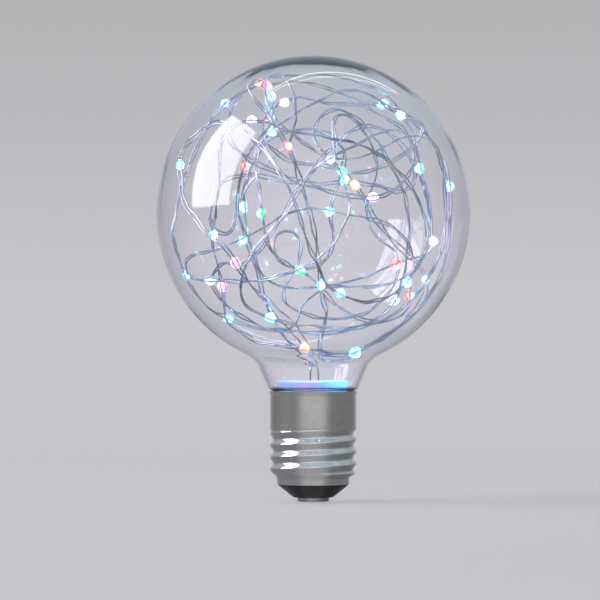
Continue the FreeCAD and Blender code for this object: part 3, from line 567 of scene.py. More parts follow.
def grid_object(
    name: str, points: np.ndarray, crease: float = 40.0, wrap_rows: bool = False
) -> bpy.types.Object:
    """Makes a mesh object from one grid of points.

    Args:
        name: The object's name.
        points: Array of rows, columns and coordinates, as Skin.add_grid takes it.
        crease: Edges that turn more than this many degrees stay sharp.
        wrap_rows: Join the last row to the first.

    Returns:
        The new object.
    """
    skin = Skin()
    skin.add_grid(points, wrap_rows)
    return skin.to_object(name, crease)


def arc_points(centre: tuple, radius: float, start: float, end: float, count: int) -> np.ndarray:
    """Returns points on an arc: centre plus radius times (cosine, sine) of evenly spaced angles.

    Args:
        centre: Centre, across and up.
        radius: Radius.
        start: First angle in radians.
        end: Last angle in radians.
        count: Number of points.

    Returns:
        An array of points, across and up.
    """
    angles = np.linspace(start, end, count)
    return np.array(centre) + radius * np.stack([np.cos(angles), np.sin(angles)], axis=1)


def rounded_outline(corners: list[tuple[float, float, float]], closed: bool, steps: int = 7) -> np.ndarray:
    """Rounds the corners of an outline.

    Each corner becomes an arc that leaves the two sides at radius over the tangent of half the angle
    between them from the corner.

    Args:
        corners: Corners as across, up and radius; a radius of 0 keeps the corner.
        closed: Whether the last corner joins the first.
        steps: Points on an arc.

    Returns:
        An array of points, across and up.
    """
    places = np.array([corner[:2] for corner in corners])
    rows = []
    for number, (across, up, radius) in enumerate(corners):
        corner = np.array((across, up))
        open_end = not closed and number in (0, len(corners) - 1)
        if radius == 0 or open_end:
            rows.append(corner[None])
            continue
        back = places[number - 1] - corner
        onward = places[(number + 1) % len(corners)] - corner
        back, onward = back / np.linalg.norm(back), onward / np.linalg.norm(onward)
        half = math.acos(np.clip(back @ onward, -1, 1)) / 2
        middle = (back + onward) / np.linalg.norm(back + onward)
        centre = corner + middle * radius / math.sin(half)
        first = corner + back * radius / math.tan(half) - centre
        last = corner + onward * radius / math.tan(half) - centre
        start, end = (math.atan2(v[1], v[0]) for v in (first, last))
        turn = (end - start + math.pi) % (2 * math.pi) - math.pi
        rows.append(arc_points(tuple(centre), radius, start, start + turn, steps))
    return np.concatenate(rows)


def turned(outline: np.ndarray, columns: int) -> np.ndarray:
    """Turns an outline round Z: each point (r, z) becomes a ring (r cos a, r sin a, z).

    Args:
        outline: Points across and up.
        columns: Points round each ring.

    Returns:
        The grid of points.
    """
    angles = np.arange(columns) * 2 * math.pi / columns
    radius, up = outline[:, :1], outline[:, 1:]
    return np.stack([radius * np.cos(angles), radius * np.sin(angles), up + 0 * angles], axis=2)


def smooth_step(at: np.ndarray, low: float, high: float) -> np.ndarray:
    """Returns a smooth rise from 0 at low to 1 at high."""
    share = np.clip((at - low) / (high - low), 0, 1)
    return share * share * (3 - 2 * share)


def unit(rows: np.ndarray) -> np.ndarray:
    """Returns vectors of the same directions with a length of 1."""
    return rows / np.linalg.norm(rows, axis=-1, keepdims=True)


def dress(piece: bpy.types.Object, material: bpy.types.Material, slot: str, *nodes: str) -> None:
    """Gives a piece its material and body, and hides the CAD nodes that it replaces.

    Args:
        piece: The new object.
        material: Its material.
        slot: Not used.
        *nodes: The CAD nodes that it replaces.
    """
    piece.data.materials.append(material)
    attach(piece, ROOT)
    for node in nodes:
        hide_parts(node)
    LOG.info("%s: %d faces", piece.name, len(piece.data.polygons))


@dataclass
class GlassEnvelope:
    """The blown glass: globe, neck, rounded shoulder, and the tube that stands in the cap.

    The wall is thicker at the crown, where the glass was blown last, from the latitude crown_edge up.
    Each pair of ripples is turns round the axis and waves up the globe. They fade in from the top down
    and from the bottom up, between heights over the globe's centre in shares of its inside radius.
    """

    radius: float = 47.5 * MM
    wall: float = 0.9 * MM
    crown: float = 0.6 * MM
    crown_edge: float = math.radians(45)
    ripple: float = 0.11 * MM
    ripples: tuple[tuple[int, int], ...] = ((7, 5), (11, -8), (17, 6), (23, -3), (29, 9), (5, 19))
    ripple_seed: int = 3
    ripple_top: tuple[float, float] = (0.97, 0.8)
    ripple_bottom: tuple[float, float] = (-0.85, -0.6)
    flare: float = 0.414
    shoulder: tuple[float, float] = (13.3 * MM, 33.6 * MM)
    neck_gain: float = 4.0 * MM
    shoulder_round: float = 1.7 * MM
    neck_blend: float = 8 * MM
    tube: float = 11.8 * MM
    tube_bottom: float = 26 * MM
    tube_corner: float = 0.2 * MM
    bore_corner: float = 0.25 * MM
    melted_edge: float = 0.45
    columns: int = 224
    globe_rows: int = 150
    blend_rows: int = 22
    corner_rows: int = 9

    @property
    def centre(self) -> float:
        """Returns the globe's centre: the neck's cone meets the globe where it has gained its radius."""
        joint = self.shoulder[0] + self.neck_gain
        return self.shoulder[1] + self.neck_gain / self.flare + math.sqrt(self.radius**2 - joint**2)

    @property
    def inside(self) -> float:
        """Returns the globe's inside radius."""
        return self.radius - self.wall

    def blend_centre(self) -> np.ndarray:
        """Finds the centre of the hollow curve between neck and globe.

        It is the point at globe radius plus blend radius from the globe's centre that also lies the
        blend radius away from the neck's cone.

        Returns:
            The centre, across and up.
        """
        slant = math.hypot(1, self.flare)
        reach = self.radius + self.neck_blend
        foot = self.shoulder[0] + self.neck_blend * slant
        level = foot + self.flare * (self.centre - self.shoulder[1])
        tilt = level * self.flare
        down = (tilt + math.sqrt(tilt**2 - slant**2 * (level**2 - reach**2))) / slant**2
        return np.array((level - self.flare * down, self.centre - down))

    def skin_side(self, inset: float, crown: float = 0.0) -> np.ndarray:
        """Draws the outline from the top pole to the end of the neck's blend.

        Args:
            inset: How far inside the outer skin the outline lies.
            crown: How much thicker the wall is at the top pole.

        Returns:
            An array of points, across and up.
        """
        blend = self.blend_centre()
        below = math.atan2(blend[1] - self.centre, blend[0])
        angle = np.linspace(math.pi / 2, below, self.globe_rows)
        globe = arc_points((0, self.centre), self.radius - inset, math.pi / 2, below, self.globe_rows)
        thick = crown * smooth_step(angle, self.crown_edge, math.pi / 2)
        globe -= thick[:, None] * np.stack([np.cos(angle), np.sin(angle)], axis=1)
        globe[0, 0] = 0
        cone = math.atan2(self.flare, -1)
        neck = arc_points(tuple(blend), self.neck_blend + inset, below + math.pi, cone, self.blend_rows)
        return np.concatenate([globe, neck[1:]])

    def unevenness(self, grid: np.ndarray) -> np.ndarray:
        """Works out shallow ripples of the inner wall, as the mould leaves only the outside smooth.

        Their depth is a sum of sines of (turns x angle round + waves x height + phase), and fades out
        at the pole and in the neck.

        Args:
            grid: Points of the inner wall.

        Returns:
            How far each point moves.
        """
        round_angle = np.arctan2(grid[..., 1], grid[..., 0])
        up = (grid[..., 2] - self.centre) / self.inside
        chance = np.random.default_rng(self.ripple_seed)
        depth = np.zeros(grid.shape[:2])
        for turns, waves in self.ripples:
            depth += np.sin(turns * round_angle + waves * up + chance.uniform(0, 2 * math.pi)) / (4 + turns)
        fading = smooth_step(up, *self.ripple_top) * smooth_step(up, *self.ripple_bottom)
        outwards = (grid - np.array((0, 0, self.centre))) / self.inside
        return outwards * (self.ripple * depth * fading)[..., None]

    def build(self) -> None:
        """Builds the glass as one closed skin, outside and inside."""
        slant = math.hypot(1, self.flare)
        edge, floor = self.shoulder
        bore = self.tube - self.wall
        inner_edge = edge - self.wall * slant + self.flare * self.wall
        outer, inner = self.skin_side(0), self.skin_side(self.wall, self.crown)
        lower = rounded_outline([
            (*outer[-1], 0),
            (edge, floor, self.shoulder_round),
            (self.tube, floor, self.tube_corner),
            (self.tube, self.tube_bottom, self.wall * self.melted_edge),
            (bore, self.tube_bottom, self.wall * self.melted_edge),
            (bore, floor + self.wall, self.bore_corner),
            (inner_edge, floor + self.wall, self.shoulder_round - self.wall),
            (*inner[-1], 0),
        ], closed=False, steps=self.corner_rows)
        grid = turned(np.concatenate([outer[:-1], lower, inner[-2::-1]]), self.columns)
        grid[-len(inner):] += self.unevenness(grid[-len(inner):])
        made = grid_object("glass_envelope", grid, crease=70)
        dress(made, BlownGlass().material(), "clear_glass", "glass_globe")


@dataclass
class ScrewCap:
    """Rolled shell with its thread, the insulator, and the centre contact."""

    crest: float = 13.1 * MM
    depth: float = 0.9 * MM
    pitch: float = 3.629 * MM
    turns: int = 4
    thread_top: float = 22.4 * MM
    bottom: float = 5.2 * MM
    foot: float = 11.0 * MM
    wall: float = 0.3 * MM
    rim: float = 33.4 * MM
    rim_height: float = 1.2 * MM
    rim_flare: float = 0.3 * MM
    fit: float = 0.05 * MM
    face: tuple[float, float] = (6.0 * MM, 1.2 * MM)
    stem_bore: float = 1.0 * MM
    cup_top: float = 6.7 * MM
    cup_wall: float = 1.2 * MM
    cup_floor: tuple[float, float] = (7.85 * MM, 3.5 * MM)
    face_corner: float = 0.8 * MM
    ledge_corner: float = 0.15 * MM
    cup_rim: tuple[float, float] = (0.2 * MM, 0.3 * MM)
    cup_corner: float = 0.6 * MM
    contact_radius: float = 4.8 * MM
    contact_edge: float = 0.15 * MM
    stem_edge: float = 0.2 * MM
    contact_bevel: float = 0.5 * MM
    worn_flat: float = 1.6 * MM
    stem: tuple[float, float] = (0.95 * MM, 3.0 * MM)
    columns: int = 144
    rows: int = 150
    turned_columns: int = 128

    def radius_at(self, up: np.ndarray, turn: np.ndarray) -> np.ndarray:
        """Works out the shell's outside radius.

        The groove is half of one minus the cosine of the height in pitches less the angle in turns. It
        fades into the plain collar at the top and into the foot at the bottom.

        Args:
            up: Heights.
            turn: Angles in radians.

        Returns:
            The radius at each height and angle.
        """
        groove = 0.5 - 0.5 * np.cos(2 * math.pi * (up - self.thread_top) / self.pitch - turn)
        fading = 1 - smooth_step(up, self.thread_top - self.pitch / 2, self.thread_top)
        threaded = self.crest - self.depth * groove * fading
        start = self.thread_top - self.turns * self.pitch
        rise = smooth_step(up, start - self.pitch / 4, start + self.pitch / 4)
        opened = self.rim_flare * smooth_step(up, self.rim - self.rim_height, self.rim)
        return self.foot + (threaded - self.foot) * rise + opened

    def shell(self) -> None:
        """Builds the rolled shell as one closed skin, outside and inside, with square cut edges.

        The inside lies one wall thickness in, measured square to the skin: wall x the root of one plus
        the slope squared.
        """
        turn = np.arange(self.columns)[None] * 2 * math.pi / self.columns
        up = np.linspace(self.rim, self.bottom, self.rows)[:, None]
        outer = self.radius_at(up, turn)
        near = 0.01 * MM
        slope = (self.radius_at(up + near, turn) - self.radius_at(up - near, turn)) / (2 * near)
        inner = (outer - self.wall * np.hypot(1, slope))[::-1]
        radii = np.concatenate([outer, inner])
        heights = np.concatenate([up, up[::-1]])
        points = np.stack([radii * np.cos(turn), radii * np.sin(turn), heights + 0 * turn], axis=2)
        made = grid_object("rolled_shell", points, wrap_rows=True)
        dress(made, NICKEL_PLATE.material(), "plated_cap", "screw_shell")

    def insulator(self) -> None:
        """Builds the insulator: a cone with a ledge for the shell, and a cup inside."""
        fitted = self.foot - self.wall - self.fit
        outline = rounded_outline([
            (self.stem_bore, self.face[1], 0),
            (*self.face, self.face_corner),
            (self.foot, self.bottom, self.ledge_corner),
            (fitted, self.bottom, 0),
            (fitted, self.cup_top, self.cup_rim[0]),
            (fitted - self.cup_wall, self.cup_top, self.cup_rim[1]),
            (*self.cup_floor, self.cup_corner),
            (self.stem_bore, self.cup_floor[1], 0),
        ], closed=True)
        made = grid_object("phenolic_insulator", turned(outline[::-1], self.turned_columns), wrap_rows=True)
        dress(made, BLACK_PHENOLIC.material(), "black_insulator", "cap_insulator")

    def contact(self) -> None:
        """Builds the centre contact: a flat disc with a worn edge, and its rivet stem."""
        stem, stem_top = self.stem
        outline = rounded_outline([
            (0, stem_top, 0),
            (stem, stem_top, self.stem_edge),
            (stem, self.face[1], 0),
            (self.contact_radius, self.face[1], self.contact_edge),
            (self.contact_radius, 0.0, self.contact_bevel),
            (self.worn_flat, 0.0, 0),
            (0, 0, 0),
        ], closed=False)
        made = grid_object("contact_disc", turned(outline, self.turned_columns))
        dress(made, TINNED_COPPER.material(), "plated_cap", "centre_contact")

    def build(self) -> None:
        """Builds the cap's three pieces."""
        self.shell()
        self.insulator()
        self.contact()


@dataclass
class NeckPlug:
    """White plug in the neck: a disc with a skirt, and two holes for the string's wires."""

    radius: float = 10.6 * MM
    top: float = 36.7 * MM
    disc: float = 3.0 * MM
    skirt_wall: float = 1.1 * MM
    skirt_bottom: float = 27 * MM
    edge: float = 0.5 * MM
    skirt_edge: float = 0.2 * MM
    inner_corner: float = 0.3 * MM
    hole: float = 0.3 * MM
    exits: tuple[tuple[float, float], ...] = ((-0.85 * MM, -1.15 * MM), (1.58 * MM, -1.15 * MM))
    columns: int = 160
    drill_columns: int = 24

    def build(self) -> None:
        """Builds the plug, and bores the holes with a boolean that is applied to the mesh."""
        skirt = self.radius - self.skirt_wall
        floor = self.top - self.disc
        outline = rounded_outline([
            (0, self.top, 0),
            (self.radius, self.top, self.edge),
            (self.radius, self.skirt_bottom, self.skirt_edge),
            (skirt, self.skirt_bottom, self.skirt_edge),
            (skirt, floor, self.inner_corner),
            (0, floor, 0),
        ], closed=False)
        made = grid_object("nylon_plug", turned(outline, self.columns))
        drills = Skin()
        for across, away in self.exits:
            reach = self.disc
            pin = np.array([(0, reach), (self.hole, reach), (self.hole, -reach), (0, -reach)])
            middle = np.array((across, away, self.top - self.disc / 2))
            drills.add_grid(turned(pin, self.drill_columns) + middle)
        drill = drills.to_object("plug_drill")
        cutter = made.modifiers.new("holes", "BOOLEAN")
        cutter.object = drill
        cutter.solver = "EXACT"
        bpy.context.view_layer.update()
        graph = bpy.context.evaluated_depsgraph_get()
        bored = bpy.data.meshes.new_from_object(made.evaluated_get(graph))
        made.modifiers.clear()
        made.data = bored
        bpy.data.objects.remove(drill)
        dress(made, NylonWithPaintedGlow().material(), "white_plug", "neck_plug")


@dataclass
class LightString:
    """Two silvered wires side by side in a loose tangle, with lamp chips across them in clear epoxy.

    Sizes of chips, domes and drops are given across the wires, out from them, and along them. From drop
    to drop, the power that shapes the ends and the shares of width, length and depth change within
    their ranges.
    """

    globe: GlassEnvelope
    plug: NeckPlug
    wire: float = 0.5 * MM
    spacing: float = 1.0 * MM
    start_height: float = 31.45 * MM
    straight: float = 1.0 * MM
    rise: float = 2.4 * MM
    bead_length: float = 3.6 * MM
    bead_width: float = 2.7 * MM
    bead_sag: float = 0.18 * MM
    bead_lean: float = 0.07
    bead_fullness: tuple[float, float] = (0.8, 1.15)
    bead_spread: tuple[float, float] = (0.94, 1.0)
    bead_depth: tuple[float, float] = (0.9, 1.0)
    bead_shape: tuple[int, int] = (26, 28)
    bead_seed: int = 21
    dome_size: tuple[float, float, float] = (0.86 * MM, 0.68 * MM, 0.92 * MM)
    dome_base: float = 0.34 * MM
    dome_shape: tuple[int, int] = (9, 20)
    chip_size: tuple[float, float, float] = (1.6 * MM, 0.4 * MM, 0.8 * MM)
    chip_edge: float = 0.06 * MM
    chip_end: float = 0.86
    kinks: tuple[tuple[float, float], ...] = (
        (5.5 * MM, 0.05 * MM), (8.3 * MM, 0.09 * MM), (13.7 * MM, 0.16 * MM)
    )
    light_energy: float = 0.026
    light_size: float = 0.9 * MM
    light_out: float = 0.8 * MM
    steps: int = 16
    sides: int = 10
    twist_seed: int = 7
    kink_seed: int = 40

    def __post_init__(self) -> None:
        """Works out the route's points, the lamps and the directions across the pair."""
        points, lamps = [], []
        for entry in ROUTE:
            if isinstance(entry[0], str):
                middle, half = np.array(entry[1]), np.array(entry[2])
                lamps.append((len(points), Glow[entry[0].upper()]))
                points += [middle - half, middle + half]
            else:
                points.append(np.array(entry))
        self.points = np.array((0, 0, self.globe.centre)) + np.array(points, float) * self.percent
        self.lamps = lamps
        self.across = self.pair_sides()

    @property
    def percent(self) -> float:
        """Returns the length that the route calls 1."""
        return self.globe.inside / 100

    def pair_sides(self) -> np.ndarray:
        """Works out the direction across the pair at each point of the route.

        The direction is carried along without twist, then turned about the route by an angle that
        changes only between lamps, so that the pair crosses over itself here and there.

        Returns:
            An array of directions with a length of 1.
        """
        ahead = unit(np.diff(self.points, axis=0))
        tangents = unit(np.concatenate([ahead[:1], ahead[:-1] + ahead[1:], ahead[-1:]]))
        side = np.array(FIRST_SIDE)
        carried = []
        for tangent in tangents:
            side = unit(side - tangent * (side @ tangent))
            carried.append(side)
        carried = np.array(carried)
        stops = [run + 0.5 for run, _ in self.lamps]
        turns = np.random.default_rng(self.twist_seed).choice([-1, 0, 0, 1], len(stops))
        angle = np.zeros(len(self.points))
        places = np.arange(len(self.points))
        for before, after, turn in zip([-0.5] + stops, stops, turns):
            angle += turn * math.pi * smooth_step(places, before + 0.5, after - 0.5)
        angle = angle[:, None]
        return carried * np.cos(angle) + np.cross(tangents, carried) * np.sin(angle)

    def lead(self, number: int, start: np.ndarray) -> np.ndarray:
        """Leads a wire from inside the cap, through the plug, up to the pair's start.

        Args:
            number: 0 for the first wire, 1 for the second.
            start: Where the wire joins the pair.

        Returns:
            An array of points.
        """
        across, away = self.plug.exits[number]
        top = self.plug.top
        rows = np.array((FIRST_LEAD, SECOND_LEAD)[number])
        risen = top + (start[2] - top) * rows[:, 2]
        free = np.stack([rows[:, 0] * self.percent, rows[:, 1] * self.percent, risen], axis=1)
        heights = (self.start_height, top - self.straight, top + self.rise)
        fixed = [(across, away, height) for height in heights]
        return np.concatenate([fixed, free])

    def smooth_path(self, points: np.ndarray) -> np.ndarray:
        """Follows a quadratic B-spline: between run middles A and B round point P it goes
        (1 - t) squared A + 2 t (1 - t) P + t squared B.

        Args:
            points: Control points, or any values that go with them.

        Returns:
            The sampled values, with the first and last points kept.
        """
        middles = (points[:-1] + points[1:]) / 2
        share = (np.arange(self.steps) / self.steps)[None, :, None]
        before, corner, after = middles[:-1, None], points[1:-1, None], middles[1:, None]
        curve = (1 - share) ** 2 * before + 2 * share * (1 - share) * corner + share**2 * after
        return np.concatenate([points[:1], curve.reshape(-1, points.shape[1]), middles[-1:], points[-1:]])

    def tube(self, path: np.ndarray, across: np.ndarray) -> np.ndarray:
        """Carries a ring along a path: centre + radius (cos a side + sin a (direction x side)).

        Args:
            path: Points of the wire's middle.
            across: A direction at each point that is not along the wire.

        Returns:
            The grid of points, with both ends drawn in to a point.
        """
        ahead = unit(np.gradient(path, axis=0))
        side = unit(across - ahead * np.sum(across * ahead, axis=1, keepdims=True))
        other = np.cross(ahead, side)
        angles = -np.arange(self.sides) * 2 * math.pi / self.sides
        cosine, sine = np.cos(angles)[None, :, None], np.sin(angles)[None, :, None]
        rings = path[:, None] + self.wire / 2 * (cosine * side[:, None] + sine * other[:, None])
        first, last = (np.repeat(end[:, None], self.sides, axis=1) for end in (path[:1], path[-1:]))
        return np.concatenate([first, rings, last])

    def unevenness(self, path: np.ndarray, number: int) -> np.ndarray:
        """Works out the small kinks of a wire that was wound and pushed in by hand.

        Each axis is a sum of sines of the length along the wire. It fades out near the lamps and in the
        plug.

        Args:
            path: Points of the wire's middle.
            number: The wire's number, so that each has its own kinks.

        Returns:
            How far each point moves.
        """
        length = np.concatenate([[0], np.cumsum(np.linalg.norm(np.diff(path, axis=0), axis=1))])
        chance = np.random.default_rng(self.kink_seed + number)
        sway = np.zeros_like(path)
        for wave, reach in self.kinks:
            phase = chance.uniform(0, 2 * math.pi, 3)
            sway += reach * np.sin(2 * math.pi * length[:, None] / wave + phase)
        free = smooth_step(path[:, 2], self.plug.top + self.rise, self.plug.top + self.rise * 2)
        for run, _ in self.lamps:
            middle = (self.points[run] + self.points[run + 1]) / 2
            away = np.linalg.norm(path - middle, axis=1)
            free = free * smooth_step(away, self.bead_length / 2, self.bead_length * 1.5)
        return sway * free[:, None]

    def wires(self) -> None:
        """Builds both wires."""
        material = SILVERED_COPPER.material()
        for number, (node, sign) in enumerate((("string_wire_a", 1), ("string_wire_b", -1))):
            pair = self.points + self.across * sign * self.spacing / 2
            lead = self.lead(number, pair[0])
            sides = np.concatenate([np.repeat(self.across[:1], len(lead), axis=0), self.across])
            path = self.smooth_path(np.concatenate([lead, pair]))
            path += self.unevenness(path, number)
            tube = self.tube(path, self.smooth_path(sides))
            made = grid_object(f"silvered_wire_{number + 1}", tube, crease=80)
            dress(made, material, "silvered_wire", node)

    def lamp_frames(self) -> list[tuple[np.ndarray, np.ndarray, Glow]]:
        """Works out where each lamp sits on the pair, and how it is turned.

        Returns:
            Each lamp's middle, its axes (across, out, along) as rows, and its colour.
        """
        frames = []
        for run, glow in self.lamps:
            start, end = self.points[run], self.points[run + 1]
            along = unit(end - start)
            across = self.across[run] + self.across[run + 1]
            across = unit(across - along * (across @ along))
            frames.append(((start + end) / 2, np.array((across, np.cross(along, across), along)), glow))
        return frames

    def drop(self, wobble: np.random.Generator) -> np.ndarray:
        """Shapes an epoxy drop about its own middle, with its length along Z.

        The radius is the square root of one minus the place squared, raised to a power that makes the
        ends fuller or leaner, and the drop is wider across the wires.

        Args:
            wobble: Random numbers for the small differences between drops.

        Returns:
            The grid of points.
        """
        rows, columns = self.bead_shape
        angles = -np.arange(columns) * 2 * math.pi / columns
        place = np.sin(np.linspace(-math.pi / 2, math.pi / 2, rows))
        lean = wobble.normal(0, self.bead_lean)
        power = wobble.uniform(*self.bead_fullness)
        full = np.sqrt(np.clip(1 - place**2, 0, 1)) ** power * (1 + lean * place)
        wide = self.bead_width / 2 * wobble.uniform(*self.bead_spread)
        deep = wide * wobble.uniform(*self.bead_depth)
        length = self.bead_length / 2 * wobble.uniform(*self.bead_spread)
        across = full[:, None] * wide * np.cos(angles)
        out = full[:, None] * deep * np.sin(angles) + self.bead_sag * (1 - place[:, None] ** 2)
        along = (length * place)[:, None] + 0 * angles
        return np.stack([across, out, along], axis=2)

    def dome(self) -> np.ndarray:
        """Shapes the lit dome on a chip: half an ellipsoid, closed by its flat side.

        Returns:
            The grid of points.
        """
        rows, columns = self.dome_shape
        wide, high, long = self.dome_size
        angles = -np.arange(columns) * 2 * math.pi / columns
        rise = np.linspace(0, math.pi / 2, rows)
        across = np.cos(rise)[:, None] * wide * np.cos(angles)
        along = np.cos(rise)[:, None] * long * np.sin(angles)
        out = (self.dome_base + np.sin(rise) * high)[:, None] + 0 * angles
        cap = np.stack([across, out, along], axis=2)
        flat = cap[:1] * 0 + np.array((0, self.dome_base, 0))
        return np.concatenate([flat, cap])

    def chip(self) -> np.ndarray:
        """Shapes the chip's rounded block, end to end across the wires.

        Returns:
            The grid of points.
        """
        long, wide, soft = self.chip_size[0] / 2, self.chip_size[2] / 2, self.chip_edge
        low = self.wire / 2
        high = low + self.chip_size[1]
        corners = [(-wide, low, soft), (wide, low, soft), (wide, high, soft), (-wide, high, soft)]
        section = rounded_outline(corners, closed=True, steps=4)
        middle = section.mean(axis=0)
        first_half = ((-long, 0.0), (-long, self.chip_end), (-long + soft, 1.0))
        rows = []
        for end, share in first_half + tuple((-end, share) for end, share in first_half[::-1]):
            ring = middle + (section - middle) * share
            rows.append(np.stack([np.full(len(ring), end), ring[:, 1], ring[:, 0]], axis=1))
        return np.array(rows)

    def build(self) -> None:
        """Builds the wires, the chips with their domes, and each epoxy drop with its light."""
        self.wires()
        wobble = np.random.default_rng(self.bead_seed)
        chips, domes, epoxies = Skin(), {}, {}
        for number, (middle, axes, glow) in enumerate(self.lamp_frames(), start=1):
            chips.add_grid(self.chip() @ axes + middle)
            domes.setdefault(glow, Skin()).add_grid(self.dome() @ axes + middle)
            made = grid_object(f"epoxy_drop_{number:02d}", self.drop(wobble) @ axes + middle, crease=80)
            made.visible_shadow = False
            if glow not in epoxies:
                epoxies[glow] = ClearEpoxy(glow).material()
            dress(made, epoxies[glow], "clear_epoxy", f"led_bead_{number:02d}")
            if glow.power:
                self.lamp_light(number, middle + axes[1] * self.light_out, glow)
        dress(chips.to_object("lamp_chips"), CHIP_CERAMIC.material(), "lamp_chip", "led_chips")
        for glow, skin in domes.items():
            made = skin.to_object(f"lit_domes_{glow.name.lower()}", crease=60)
            made.visible_shadow = False
            dress(made, LitDome(glow).material(), "lamp_chip")

    def lamp_light(self, number: int, place: np.ndarray, glow: Glow) -> None:
        """Adds the light that a lamp throws on the wires round it.

        Args:
            number: The lamp's number.
            place: Where the light is.
            glow: Its colour.
        """
        light = bpy.data.lights.new(f"lamp_light_{number:02d}", "POINT")
        light.energy = self.light_energy * glow.power
        light.shadow_soft_size = self.light_size
        light.color = linear(glow.hue)[:3]
        made = bpy.data.objects.new(light.name, light)
        made.location = place
        made.visible_camera = False
        bpy.context.scene.collection.objects.link(made)


@dataclass
class CapInside:
    """Pieces that stay as CAD made them, hidden in the cap and the neck: each gets its finish."""

    def build(self) -> None:
        """Assigns a material to each CAD node that nothing replaces."""
        finishes = {
            CAPPING_CEMENT: ("cap_cement",),
            TIN_SOLDER: ("shell_solder", "board_solder"),
            SOLDER_MASK: ("driver_board",),
            MOULDED_EPOXY: ("bridge_rectifier", "driver_ic"),
            VINYL_SLEEVE: ("capacitor",),
            LACQUER: ("fuse_resistor",),
            TINNED_COPPER: ("live_lead", "neutral_lead"),
        }
        for finish, nodes in finishes.items():
            material = finish.material()
            for node in nodes:
                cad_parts[node].data.materials.clear()
                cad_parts[node].data.materials.append(material)
                LOG.info("%s: %s", node, material.name)


